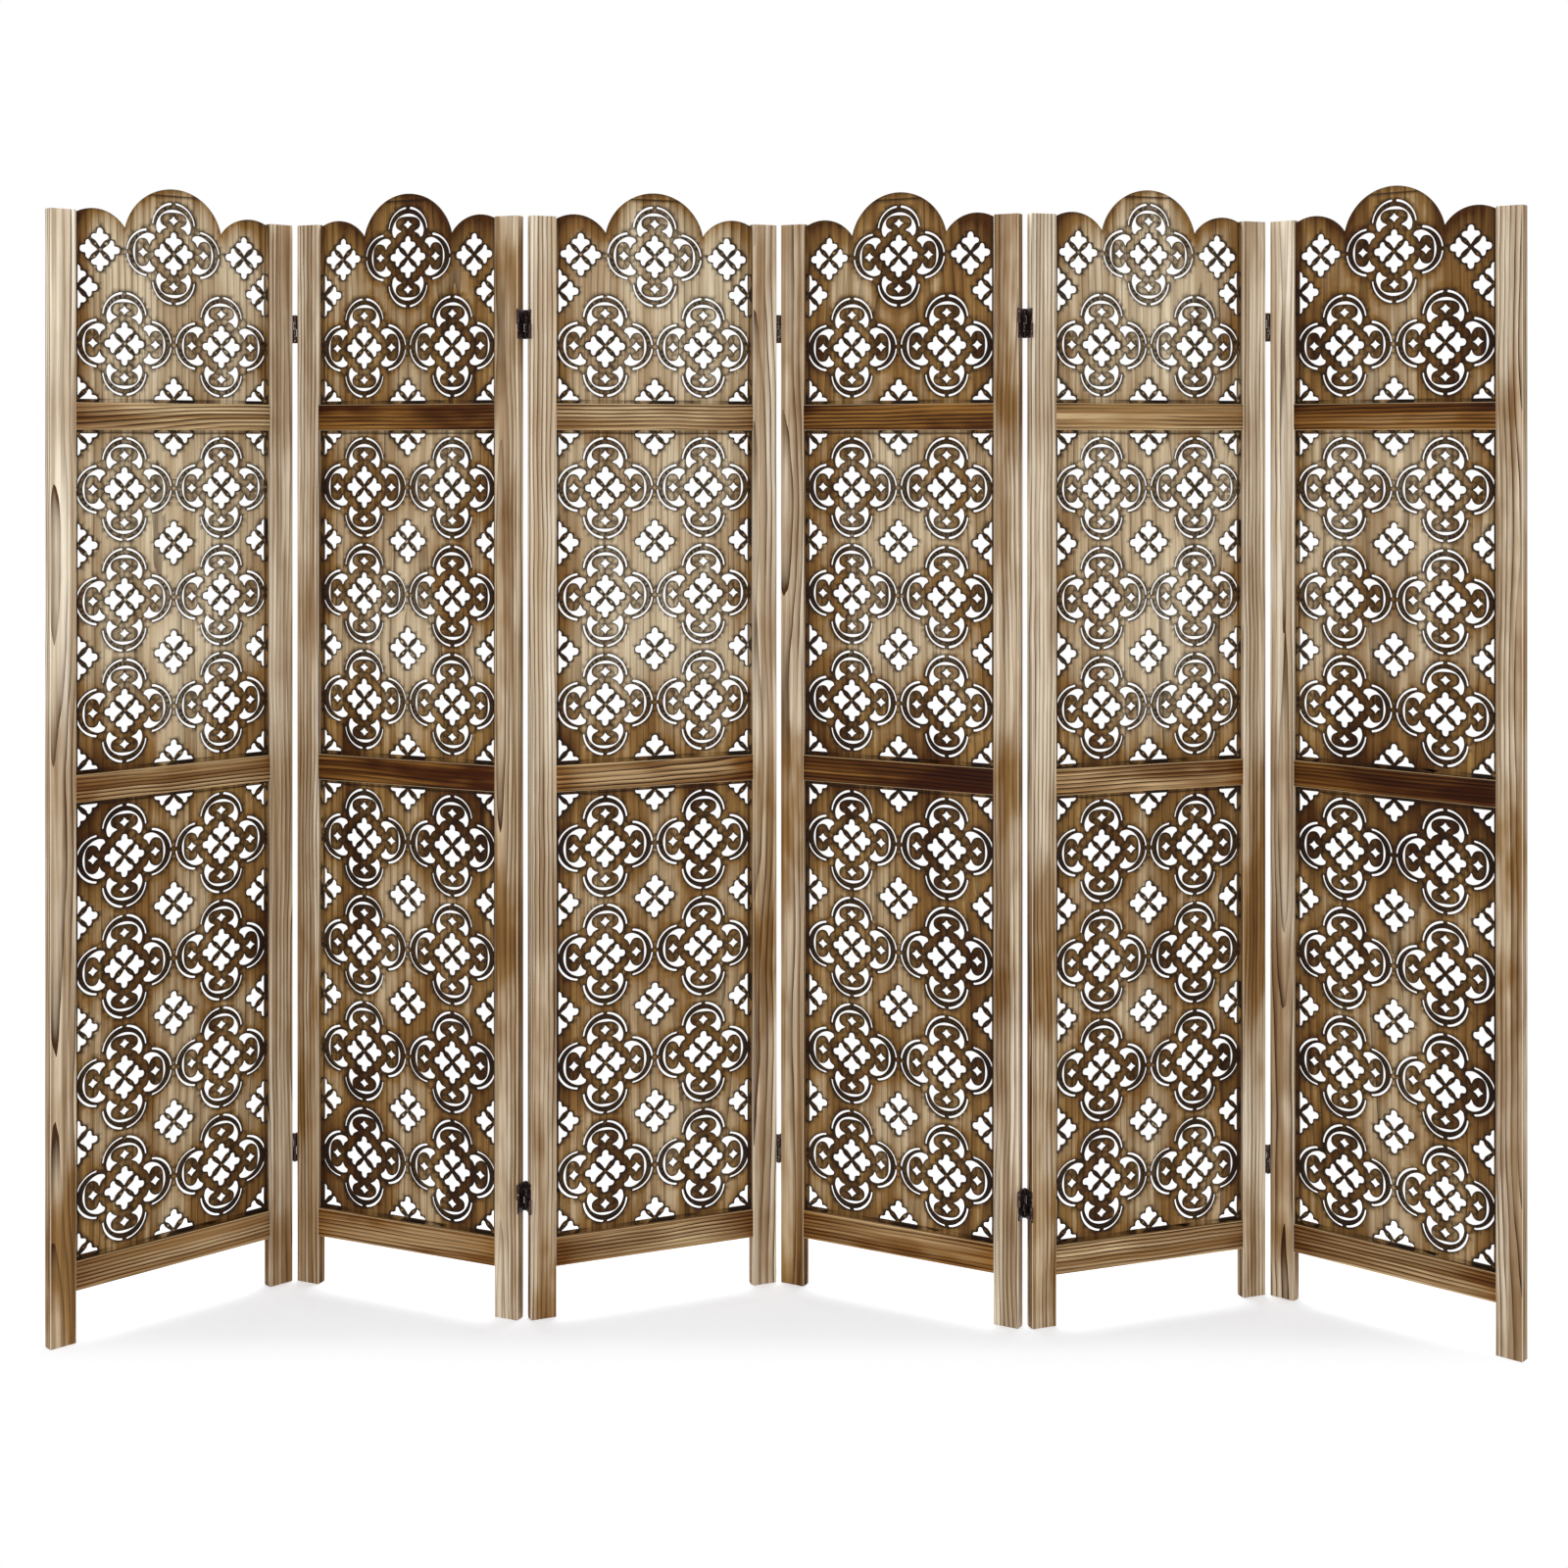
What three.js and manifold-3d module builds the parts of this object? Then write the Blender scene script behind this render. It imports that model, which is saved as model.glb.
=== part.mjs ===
// A mashrabiya folding screen, in millimetres, +Z up. Each leaf is a frame of two stiles and
// three rails with a groove round their inner edges, and the groove holds three panels of
// fretwork. Two-way hinges join the leaves edge to edge, so each joint folds either way.
// The front of the screen faces -Y. The origin is on the floor, at the middle of the ground
// that the half-folded screen covers.

import * as THREE from 'three';
import { mergeVertices } from 'three/addons/utils/BufferGeometryUtils.js';
import Module from 'manifold-3d';

const wasm = await Module();
wasm.setup();

// ---------------------------------------------------------------- driving dimensions

// Frame of one leaf. The heights stack from the floor up, and the stiles' feet are the legs.
const leafCount = 6;
const leafWidth = 400;
const frameThickness = 18;
const stileWidth = 40;
const legHeight = 76;
const bottomRailHeight = 43;
const lowerOpeningHeight = 671;
const middleRailHeight = 40;
const middleOpeningHeight = 506;
const upperRailHeight = 40;
const stileAboveUpperRail = 282;

// Groove, and the tongues and tenons that it holds.
const panelThickness = 4;
const grooveDepth = 6;
const woodClearance = 0.3;

// Outline of the crest: one wide arch between two shoulders, measured from the stile tops.
const archRise = 42;
const cuspDrop = 22.5;
const shoulderRise = 5;
const shoulderEdgeDrop = 4;
const shoulderWidth = 81;
const shoulderPeakFromStile = 31;
const archSegments = 12;
const shoulderSegments = 6;

// Fretwork: four-lobed medallions on a lattice, with a flower between every four of them.
// The flowers on the lattice's edge are cut straight, a border strip inside the opening.
const medallionBridge = 4;
const flowerShare = 5 / 12;
const lobeCentreShare = 0.53;
const lobeRadiusShare = 0.425;
const lobeSegments = 4;
const borderStrip = 5.5;
const crestMargin = 19.4;
const motifNesting = 5;

// Two-way hinge. Each half of its height holds one crossed link between two barrels.
const leafGap = 4.4;
const hingeHeight = 44;
const plateThickness = 1;
const linkThickness = 1;
const pinRadius = 1;
const pinHoleClearance = 0.45;
const hingeClearance = 0.3;
const upperHingeDrop = 163;
const lowerHingeAtForwardFold = 210;
const lowerHingeAtBackwardFold = 182;
const barrelSides = 6;

// Rest pose: the first leaf's turn from the X axis, then the fold at each joint, in degrees.
// The joints fold forwards and backwards in turn, starting with a forward fold.
const firstLeafTurn = 43;
const restFolds = [67, 47, 51, 48, 60];

// ---------------------------------------------------------------- sizes that follow

const openingWidth = leafWidth - 2 * stileWidth;
const lowerOpeningFloor = legHeight + bottomRailHeight;
const middleRailFloor = lowerOpeningFloor + lowerOpeningHeight;
const middleOpeningFloor = middleRailFloor + middleRailHeight;
const upperRailFloor = middleOpeningFloor + middleOpeningHeight;
const crestFloor = upperRailFloor + upperRailHeight;
const stileHeight = crestFloor + stileAboveUpperRail;

const grooveWidth = panelThickness + 2 * woodClearance;
const tongueLength = grooveDepth - woodClearance;
const tongueReach = openingWidth / 2 + tongueLength;

const columnPitch = openingWidth / 2;
const medallionRadius = (columnPitch - medallionBridge) / 2;
const flowerRadius = medallionRadius * flowerShare;
const lobeCentre = medallionRadius * lobeCentreShare;
const lobeRadius = medallionRadius * lobeRadiusShare;
const borderReach = openingWidth / 2 - borderStrip;

const midGap = leafGap / 2;
const barrelRadius = leafGap / 2;
const pinOffset = frameThickness / 2 + hingeClearance + barrelRadius;
const barrelHeight = (hingeHeight / 2 - 1.5 * hingeClearance) / 2;
const linkBarrelCentre = hingeClearance / 2 + barrelHeight / 2;
const plateBarrelCentre = hingeHeight / 2 - barrelHeight / 2;

// ---------------------------------------------------------------- finishes

function finish(color, roughness, metalness) {
  return new THREE.MeshStandardMaterial({ color, roughness, metalness });
}

const stileWood = () => finish(0x9c8768, 0.7, 0);
const railWood = () => finish(0x6f5232, 0.65, 0);
const panelWood = () => finish(0x7b6142, 0.75, 0);
const darkBronze = () => finish(0x2b211d, 0.45, 0.8);

// ---------------------------------------------------------------- joining and cutting

function toSolid(geometry) {
  const bare = geometry.clone();
  bare.deleteAttribute('normal');
  bare.deleteAttribute('uv');
  const merged = mergeVertices(bare, 1e-4);
  return new wasm.Manifold(new wasm.Mesh({
    numProp: 3,
    vertProperties: new Float32Array(merged.attributes.position.array),
    triVerts: new Uint32Array(merged.index.array),
  }));
}

function toGeometry(solid) {
  const mesh = solid.getMesh();
  const geometry = new THREE.BufferGeometry();
  geometry.setAttribute('position', new THREE.BufferAttribute(mesh.vertProperties, 3));
  geometry.setIndex(new THREE.BufferAttribute(mesh.triVerts, 1));
  geometry.computeVertexNormals();
  return geometry;
}

function joined(solids) {
  return solids.reduce((whole, solid) => whole.add(solid));
}

// A box from its lowest corner to its highest corner.
function boxSolid(low, high) {
  const box = new THREE.BoxGeometry(high[0] - low[0], high[1] - low[1], high[2] - low[2]);
  box.translate((low[0] + high[0]) / 2, (low[1] + high[1]) / 2, (low[2] + high[2]) / 2);
  return toSolid(box);
}

// An upright round bar, centred on (x, y, z).
function barSolid(radius, height, x, y, z) {
  const bar = new THREE.CylinderGeometry(radius, radius, height, barrelSides);
  bar.rotateX(Math.PI / 2);
  bar.translate(x, y, z);
  return toSolid(bar);
}

// ---------------------------------------------------------------- hinges

// The link lies in the gap between two leaves, with a barrel at each face. It is drawn at
// the hinge's own centre in its upper half. `pins` lists the faces, -1 for the front and 1
// for the back, where a pin stands out of the barrel into the plate's barrel above it.
function linkSolid(pins) {
  const edge = frameThickness / 2;
  const half = linkThickness / 2;
  const foot = hingeClearance / 2;
  const web = boxSolid([-half, -edge, foot], [half, edge, hingeHeight / 2 - foot]);
  const neck = boxSolid([-half, -pinOffset, foot], [half, pinOffset, foot + barrelHeight]);
  const barrels = [-1, 1].map((face) => (
    barSolid(barrelRadius, barrelHeight, 0, face * pinOffset, linkBarrelCentre)));
  const pinHeight = hingeHeight / 2 - linkBarrelCentre;
  const pinCentre = hingeHeight / 2 - pinHeight / 2;
  const bars = pins.map((face) => barSolid(pinRadius, pinHeight, 0, face * pinOffset, pinCentre));
  return joined([web, neck, ...barrels, ...bars]);
}

// The plate on a leaf's edge, with its two barrels, drawn at the hinge's own centre in the
// middle of the gap. `side` is 1 for a plate on a right-hand edge and -1 on a left-hand one.
// Its upper barrel takes a pin of the upper link and its lower barrel one of the lower link.
// It reaches through the wood's surface by its own thickness.
function plateSolids(side) {
  const edge = frameThickness / 2;
  const nearFace = side * (plateThickness - midGap);
  const farFace = -side * (midGap + plateThickness);
  const [low, high] = [Math.min(nearFace, farFace), Math.max(nearFace, farFace)];
  const plate = boxSolid([low, -edge, -hingeHeight / 2], [high, edge, hingeHeight / 2]);
  const outer = -side * midGap;
  const [webLow, webHigh] = [Math.min(nearFace, outer), Math.max(nearFace, outer)];
  const barrels = [1, -1].map((upOrDown) => {
    const face = -side * upOrDown;
    const centre = upOrDown * plateBarrelCentre;
    const [yLow, yHigh] = face < 0 ? [-pinOffset, 1 - edge] : [edge - 1, pinOffset];
    const web = boxSolid(
      [webLow, yLow, centre - barrelHeight / 2], [webHigh, yHigh, centre + barrelHeight / 2]);
    return web.add(barSolid(barrelRadius, barrelHeight, 0, face * pinOffset, centre));
  });
  const holeRadius = pinRadius + pinHoleClearance;
  const hole = barSolid(holeRadius, hingeHeight / 2, 0, -side * pinOffset, plateBarrelCentre);
  return joined([plate, ...barrels]).subtract(hole);
}

// The lower link is joined to the plate that it lies along at rest. It is the upper link
// turned over, and its one pin runs down into that plate's lower barrel.
function lowerLinkSolid(side) {
  return linkSolid([-side]).rotate([180, 0, 0]);
}

function hingeHeights(foldsForward) {
  const lower = foldsForward ? lowerHingeAtForwardFold : lowerHingeAtBackwardFold;
  return { lower, upper: stileHeight - upperHingeDrop };
}

// ---------------------------------------------------------------- frame of a leaf

// A stile has its groove along its full length, also down the leg. `side` is 1 for the
// right-hand stile. `joint` is null on the screen's outer edges.
function stileMesh(name, side, joint) {
  const outer = side > 0 ? leafWidth : 0;
  const inner = outer - side * stileWidth;
  const grooveFloor = inner + side * grooveDepth;
  const edge = frameThickness / 2;
  const grooveEdge = grooveWidth / 2;
  const outline = [
    [outer, -edge], [inner, -edge], [inner, -grooveEdge], [grooveFloor, -grooveEdge],
    [grooveFloor, grooveEdge], [inner, grooveEdge], [inner, edge], [outer, edge],
  ].map(([x, y]) => new THREE.Vector2(x, y));
  const bar = new THREE.ExtrudeGeometry(
    new THREE.Shape(outline), { depth: stileHeight, bevelEnabled: false });
  if (!joint) return named(name, bar, stileWood());
  const hardware = plateSolids(side);
  const withLink = hardware.add(lowerLinkSolid(side));
  const carriesLowerLink = (side > 0) === joint.foldsForward;
  const solids = Object.values(hingeHeights(joint.foldsForward)).map((height) => (
    (carriesLowerLink ? withLink : hardware).translate([outer + side * midGap, 0, height])));
  return named(name, toGeometry(joined([toSolid(bar), ...solids])), stileWood());
}

// A rail runs between the stiles, and a tenon on each end sits in the stile's groove. It has
// a groove in its top edge, and in its bottom edge where a panel stands below it.
function railMesh(name, floor, height, panelBelow) {
  const edge = frameThickness / 2;
  const grooveEdge = grooveWidth / 2;
  const top = floor + height;
  const lowerGroove = panelBelow ? [
    [-grooveEdge, floor], [-grooveEdge, floor + grooveDepth],
    [grooveEdge, floor + grooveDepth], [grooveEdge, floor],
  ] : [];
  const outline = [
    [-edge, floor], ...lowerGroove, [edge, floor], [edge, top], [grooveEdge, top],
    [grooveEdge, top - grooveDepth], [-grooveEdge, top - grooveDepth], [-grooveEdge, top],
    [-edge, top],
  ].map(([y, z]) => new THREE.Vector2(y, z));
  const length = openingWidth - 2 * woodClearance;
  const bar = new THREE.ExtrudeGeometry(
    new THREE.Shape(outline), { depth: length, bevelEnabled: false });
  // The outline's axes (across, up) become (Y, Z), and the length runs along X.
  bar.rotateX(Math.PI / 2);
  bar.rotateZ(Math.PI / 2);
  bar.translate(leafWidth / 2 - length / 2, 0, 0);
  const tenonFloor = floor + (panelBelow ? grooveDepth + woodClearance : woodClearance);
  const tenon = boxSolid(
    [leafWidth / 2 - tongueReach, -panelThickness / 2, tenonFloor],
    [leafWidth / 2 + tongueReach, panelThickness / 2, top - grooveDepth - woodClearance]);
  return named(name, toGeometry(toSolid(bar).add(tenon)), railWood());
}

// ---------------------------------------------------------------- fretwork panels

// Points on the arc from a to c through b, without a itself.
function arcPoints(a, b, c, segments) {
  const dx1 = b.x - a.x;
  const dy1 = b.y - a.y;
  const dx2 = c.x - a.x;
  const dy2 = c.y - a.y;
  const twiceArea = 2 * (dx1 * dy2 - dy1 * dx2);
  const s1 = dx1 * dx1 + dy1 * dy1;
  const s2 = dx2 * dx2 + dy2 * dy2;
  const centre = new THREE.Vector2(
    a.x + (dy2 * s1 - dy1 * s2) / twiceArea, a.y + (dx1 * s2 - dx2 * s1) / twiceArea);
  const start = Math.atan2(a.y - centre.y, a.x - centre.x);
  const end = Math.atan2(c.y - centre.y, c.x - centre.x);
  const radius = centre.distanceTo(a);
  const arc = new THREE.EllipseCurve(
    centre.x, centre.y, radius, radius, start, end, twiceArea < 0);
  return arc.getPoints(segments).slice(1);
}

// The crest's top edge from the right stile over to the left one, as seen from the front.
function crestEdge() {
  const at = (x, rise) => new THREE.Vector2(x, stileHeight + rise);
  const cusp = openingWidth / 2 - shoulderWidth;
  const shoulderPeak = openingWidth / 2 - shoulderPeakFromStile;
  const seats = [1, -1].map((side) => at(side * openingWidth / 2, -shoulderEdgeDrop));
  const cusps = [1, -1].map((side) => at(side * cusp, -cuspDrop));
  const peaks = [1, -1].map((side) => at(side * shoulderPeak, shoulderRise));
  return [
    seats[0],
    ...arcPoints(seats[0], peaks[0], cusps[0], shoulderSegments),
    ...arcPoints(cusps[0], at(0, archRise), cusps[1], archSegments),
    ...arcPoints(cusps[1], peaks[1], seats[1], shoulderSegments),
  ];
}

// A flower is drawn by its four tips, and a medallion by its flower and four lobes. Each
// lobe is a half disc whose straight side faces the flower.
function flowerHole() {
  return [[flowerRadius, 0], [0, flowerRadius], [-flowerRadius, 0], [0, -flowerRadius]];
}

function lobeHole(turn) {
  return Array.from({ length: lobeSegments + 1 }, (_, step) => {
    const angle = turn + (step / lobeSegments - 0.5) * Math.PI;
    const x = lobeCentre * Math.cos(turn) + lobeRadius * Math.cos(angle);
    const z = lobeCentre * Math.sin(turn) + lobeRadius * Math.sin(angle);
    return [x, z];
  });
}

function medallionHoles() {
  return [flowerHole(), ...[0, 1, 2, 3].map((quarter) => lobeHole(quarter * Math.PI / 2))];
}

// An upright sheet from an outline across and up, with its middle plane at Y = 0.
function sheetSolid(outline, thickness) {
  const shape = new THREE.Shape(outline.map(([x, z]) => new THREE.Vector2(x, z)));
  const sheet = new THREE.ExtrudeGeometry(shape, { depth: thickness, bevelEnabled: false });
  sheet.rotateX(Math.PI / 2);
  sheet.translate(0, thickness / 2, 0);
  return toSolid(sheet);
}

// Motifs in order of rank. One that would run into a motif before it, or into the crest's
// edge, is left out, so the pattern gains or loses motifs when the panel changes.
function placedMotifs(wanted, edge) {
  const placed = [];
  for (const motif of wanted) {
    const centre = new THREE.Vector2(motif.x, motif.z);
    const clearOf = (point, reach) => centre.distanceTo(point) >= motif.radius + reach;
    const clearOfMotifs = placed.every((other) => (
      clearOf(new THREE.Vector2(other.x, other.z), other.radius - motifNesting)));
    if (clearOfMotifs && edge.every((point) => clearOf(point, borderStrip))) placed.push(motif);
  }
  return placed;
}

const medallion = (x, z) => ({ x, z, radius: medallionRadius, holes: medallionHoles() });
const flower = (x, z) => ({ x, z, radius: flowerRadius, holes: [flowerHole()] });

// Row centres between two heights, and the pitch that spaces them evenly.
function rowsBetween(floor, top) {
  const count = Math.max(1, Math.floor((top - floor) / columnPitch));
  const pitch = (top - floor) / count;
  return { pitch, centres: Array.from({ length: count }, (_, row) => floor + (row + 0.5) * pitch) };
}

function flowerRow(z) {
  return [flower(0, z), flower(-borderReach, z), flower(borderReach, z)];
}

function medallionPair(z) {
  return [medallion(-columnPitch / 2, z), medallion(columnPitch / 2, z)];
}

// A panel's outline is a list of points across and up, centred across the leaf. Its holes
// stop at the border lines, which run a strip inside the opening.
function panelMesh(name, outline, motifs, borderFloor, borderTop) {
  const cutDepth = 2 * panelThickness;
  const holes = motifs.flatMap((motif) => motif.holes.map((hole) => (
    sheetSolid(hole.map(([x, z]) => [x + motif.x, z + motif.z]), cutDepth))));
  const inside = boxSolid(
    [-borderReach, -cutDepth, borderFloor], [borderReach, cutDepth, borderTop]);
  const panel = sheetSolid(outline, panelThickness).subtract(joined(holes).intersect(inside));
  return named(name, toGeometry(panel.translate([leafWidth / 2, 0, 0])), panelWood());
}

// A straight panel fills an opening between two rails, with a tongue on all four edges.
function straightPanelMesh(name, openingFloor, openingHeight) {
  const borderFloor = openingFloor + borderStrip;
  const borderTop = openingFloor + openingHeight - borderStrip;
  const low = openingFloor - tongueLength;
  const high = openingFloor + openingHeight + tongueLength;
  const outline = [[-tongueReach, low], [tongueReach, low], [tongueReach, high], [-tongueReach, high]];
  const rows = rowsBetween(borderFloor, borderTop);
  const flowerHeights = [borderFloor, ...rows.centres.map((z) => z + rows.pitch / 2)];
  const wanted = [...rows.centres.flatMap(medallionPair), ...flowerHeights.flatMap(flowerRow)];
  return panelMesh(name, outline, placedMotifs(wanted, []), borderFloor, borderTop);
}

// The crest panel stands on the upper rail between the stile tops. Its top medallion hangs
// under the arch, over a pair that keeps the row pitch of the panel below.
function crestPanelMesh(name) {
  const borderFloor = crestFloor + borderStrip;
  const edge = crestEdge();
  const seatHeight = edge[0].y;
  const outline = [
    [-tongueReach, crestFloor - tongueLength], [tongueReach, crestFloor - tongueLength],
    [tongueReach, seatHeight], ...edge.map(({ x, y }) => [x, y]), [-tongueReach, seatHeight],
  ];
  const { pitch } = rowsBetween(0, middleOpeningHeight - 2 * borderStrip);
  const archTop = stileHeight + archRise;
  const topRow = archTop - crestMargin - medallionRadius;
  const besideTop = (medallionRadius + openingWidth / 2) / 2;
  const wanted = [
    ...medallionPair(borderFloor + pitch / 2), medallion(0, topRow),
    ...flowerRow(borderFloor), ...flowerRow(borderFloor + pitch).slice(1),
    flower(-besideTop, topRow), flower(besideTop, topRow),
  ];
  return panelMesh(name, outline, placedMotifs(wanted, edge), borderFloor, archTop);
}

// ---------------------------------------------------------------- assembly

function named(name, geometry, material) {
  const mesh = new THREE.Mesh(geometry, material);
  mesh.name = name;
  return mesh;
}

const joints = Array.from({ length: leafCount - 1 }, (_, index) => ({
  foldsForward: index % 2 === 0,
  fold: THREE.MathUtils.degToRad(restFolds[index % restFolds.length]),
}));

function leafGroup(index) {
  const name = `leaf_${index + 1}`;
  const leaf = new THREE.Group();
  leaf.add(
    stileMesh(`${name}_left_stile`, -1, joints[index - 1] ?? null),
    stileMesh(`${name}_right_stile`, 1, joints[index] ?? null),
    railMesh(`${name}_bottom_rail`, legHeight, bottomRailHeight, false),
    railMesh(`${name}_middle_rail`, middleRailFloor, middleRailHeight, true),
    railMesh(`${name}_upper_rail`, upperRailFloor, upperRailHeight, true),
    straightPanelMesh(`${name}_lower_panel`, lowerOpeningFloor, lowerOpeningHeight),
    straightPanelMesh(`${name}_middle_panel`, middleOpeningFloor, middleOpeningHeight),
    crestPanelMesh(`${name}_crest_panel`),
  );
  return leaf;
}

// The upper links of a joint's two hinges. At a forward fold they lie along the next leaf's
// left edge, and at a backward fold along this leaf's right edge.
function addLinks(joint, index, leaf, nextLeaf) {
  const carrier = joint.foldsForward ? nextLeaf : leaf;
  const x = joint.foldsForward ? -midGap : leafWidth + midGap;
  for (const [level, height] of Object.entries(hingeHeights(joint.foldsForward))) {
    const name = `hinge_${index + 1}_${index + 2}_${level}_link`;
    const link = named(name, toGeometry(linkSolid([-1, 1])), darkBronze());
    link.position.set(x, 0, height);
    carrier.add(link);
  }
}

// Each leaf hangs on the pin line that its joint folds about: the pins at the front faces
// for a forward fold, and those at the back faces for a backward one.
const screen = new THREE.Group();
const firstLeaf = leafGroup(0);
firstLeaf.rotation.z = THREE.MathUtils.degToRad(firstLeafTurn);
screen.add(firstLeaf);
let leaf = firstLeaf;
joints.forEach((joint, index) => {
  const pinLine = new THREE.Group();
  const pinY = joint.foldsForward ? -pinOffset : pinOffset;
  pinLine.position.set(leafWidth + midGap, pinY, 0);
  pinLine.rotation.z = joint.foldsForward ? -joint.fold : joint.fold;
  const nextLeaf = leafGroup(index + 1);
  nextLeaf.position.set(midGap, -pinY, 0);
  pinLine.add(nextLeaf);
  leaf.add(pinLine);
  addLinks(joint, index, leaf, nextLeaf);
  leaf = nextLeaf;
});

// The first leaf is moved so that the origin lies under the middle of the whole screen.
const middle = new THREE.Box3().setFromObject(screen, true).getCenter(new THREE.Vector3());
firstLeaf.position.set(-middle.x, -middle.y, 0);

export default screen;
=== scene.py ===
# %% [markdown]
# # A mashrabiya folding screen
#
# Six leaves of torched and brushed wood stand in a zigzag. Each leaf is a frame of two stiles
# and three rails, and in its grooves sit three thin panels of pierced fretwork. Two-way hinges
# join the leaves edge to edge. This notebook dresses the imported solids: it puts worked wood
# where the plain solids are, cuts the full fretwork, adds the hinge hardware, and lights it.
#
# The solids come first, because every piece here is placed by them. Their box is kept.

import bpy
import numpy as np
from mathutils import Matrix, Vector
from mathutils.geometry import delaunay_2d_cdt


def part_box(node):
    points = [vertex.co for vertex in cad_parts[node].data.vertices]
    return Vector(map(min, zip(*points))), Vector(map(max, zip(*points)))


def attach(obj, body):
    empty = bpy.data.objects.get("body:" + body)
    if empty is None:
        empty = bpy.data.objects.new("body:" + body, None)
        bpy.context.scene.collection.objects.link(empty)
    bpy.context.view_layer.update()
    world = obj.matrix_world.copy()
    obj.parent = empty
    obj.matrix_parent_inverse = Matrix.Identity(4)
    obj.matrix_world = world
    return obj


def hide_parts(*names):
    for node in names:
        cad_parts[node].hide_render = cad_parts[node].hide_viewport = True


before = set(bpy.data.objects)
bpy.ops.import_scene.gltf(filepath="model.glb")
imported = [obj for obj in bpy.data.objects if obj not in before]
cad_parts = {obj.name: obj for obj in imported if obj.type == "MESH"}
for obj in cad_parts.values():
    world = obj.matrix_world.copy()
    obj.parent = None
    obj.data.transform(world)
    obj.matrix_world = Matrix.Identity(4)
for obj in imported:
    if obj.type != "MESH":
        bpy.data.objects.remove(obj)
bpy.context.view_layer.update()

# %% [markdown]
# ## Sizes
#
# All sizes are in millimetres, as a joiner would write them. A leaf is drawn once, flat, in its
# own coordinates: across from its left edge, back from the middle of its thickness, and up from
# the floor. Then it is turned and moved to where the solids have it.

# %% Sizes of one leaf
MM = 0.001
LEAF_WIDTH, THICKNESS, STILE_WIDTH, STILE_HEIGHT = 400.0, 18.0, 40.0, 1658.0
RAILS = {"bottom_rail": (76.0, 119.0), "middle_rail": (790.0, 830.0),
         "upper_rail": (1336.0, 1376.0)}
OPENINGS = {"lower_panel": (119.0, 790.0), "middle_panel": (830.0, 1336.0)}
CREST_FLOOR, CREST_PEAK = 1376.0, 1700.0
GROOVE_WIDTH, GROOVE_DEPTH, PANEL_THICKNESS, FIT = 4.6, 6.0, 4.0, 0.3
OPENING_WIDTH = LEAF_WIDTH - 2 * STILE_WIDTH
TONGUE = GROOVE_DEPTH - FIT
LEAF_TURNS = np.radians([43, -24, 23, -28, 20, -40])
LEAVES = range(1, 7)


def leaf_to_row(points, leaf):
    """Leaf coordinates in mm become row coordinates in m.

    The leaf's middle is the middle of its upper rail's box. A point is that middle, plus its
    distance from the middle along the leaf, plus its depth along the leaf's back direction.
    """
    low, high = (np.array(corner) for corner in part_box(f"leaf_{leaf}_upper_rail"))
    turn = LEAF_TURNS[leaf - 1]
    along = np.array([np.cos(turn), np.sin(turn), 0.0])
    back = np.array([-np.sin(turn), np.cos(turn), 0.0])
    middle = (low + high) / 2 * [1, 1, 0]
    across = (points[:, :1] - LEAF_WIDTH / 2) * MM
    return middle + across * along + points[:, 1:2] * MM * back + points[:, 2:] * MM * [0, 0, 1]


corner = leaf_to_row(np.array([[0.0, 0.0, 0.0]]), 1)[0]
print("left edge of the first leaf, m:", corner.round(4))

# %% [markdown]
# ## From arrays to meshes
#
# Every new piece is worked out as whole arrays: one array of points and a few arrays of faces.
# Each point of wood carries a `grain` vector, whose Z runs along the fibres, and three masks that the
# finishes read: `burn` by the cut edges, kept lower on the cut walls as a painted highlight; `shade` for
# scorching together with painted shade; and a mask on the rubbed arrises for wear together with a painted
# highlight. As attributes of the points they go with the mesh wherever the leaf is turned.

# %% Mesh helpers
def build_mesh(name, points, polygons):
    """Points (k, 3) and face arrays (m, corners) go into a new mesh in one step each."""
    corners = np.concatenate([p.ravel() for p in polygons]).astype(np.int32)
    sizes = np.concatenate([np.full(len(p), p.shape[1]) for p in polygons])
    mesh = bpy.data.meshes.new(name)
    mesh.vertices.add(len(points))
    mesh.vertices.foreach_set("co", np.ascontiguousarray(points, dtype=np.float32).ravel())
    mesh.loops.add(len(corners))
    mesh.loops.foreach_set("vertex_index", corners)
    mesh.polygons.add(len(sizes))
    starts = np.concatenate([[0], np.cumsum(sizes)[:-1]]).astype(np.int32)
    mesh.polygons.foreach_set("loop_start", starts)
    mesh.update(calc_edges=True)
    return mesh


def set_attribute(mesh, name, values):
    """A vector or a number for every point."""
    kind, key = ("FLOAT_VECTOR", "vector") if values.ndim == 2 else ("FLOAT", "value")
    mesh.attributes.new(name, kind, "POINT").data.foreach_set(key, values.astype(np.float32).ravel())


def placed(name, data):
    """A new object of the scene, at the origin."""
    holder = bpy.data.objects.new(name, data)
    bpy.context.scene.collection.objects.link(holder)
    return holder


def add_piece(name, mesh, material, body, slot, *nodes):
    """Puts a mesh into the scene, on a body, in place of its plain solids if it has any."""
    piece = placed(name, mesh)
    mesh.materials.append(material)
    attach(piece, body)
    if nodes:
        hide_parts(*nodes)
    return piece


# %% [markdown]
# ## Wood finishes
#
# The wood is scorched and then brushed, so the soft early wood is pale and the late wood stays
# as dark lines. Photographs of planks would show this too, but a procedural grain has no seams
# and fits any length. One node group makes the grain for all finishes, from rings round a pith
# that a slow noise moves, and fine streaks. A second one turns grain and masks into a colour.

# %% Colour helper
def linear(red, green, blue):
    """A colour as it looks on a screen, 0 to 255, as the linear colour that shaders use."""
    c = np.array([red, green, blue]) / 255
    lin = np.where(c <= 0.04045, c / 12.92, ((c + 0.055) / 1.055) ** 2.4)
    return (*[float(v) for v in lin], 1.0)


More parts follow.
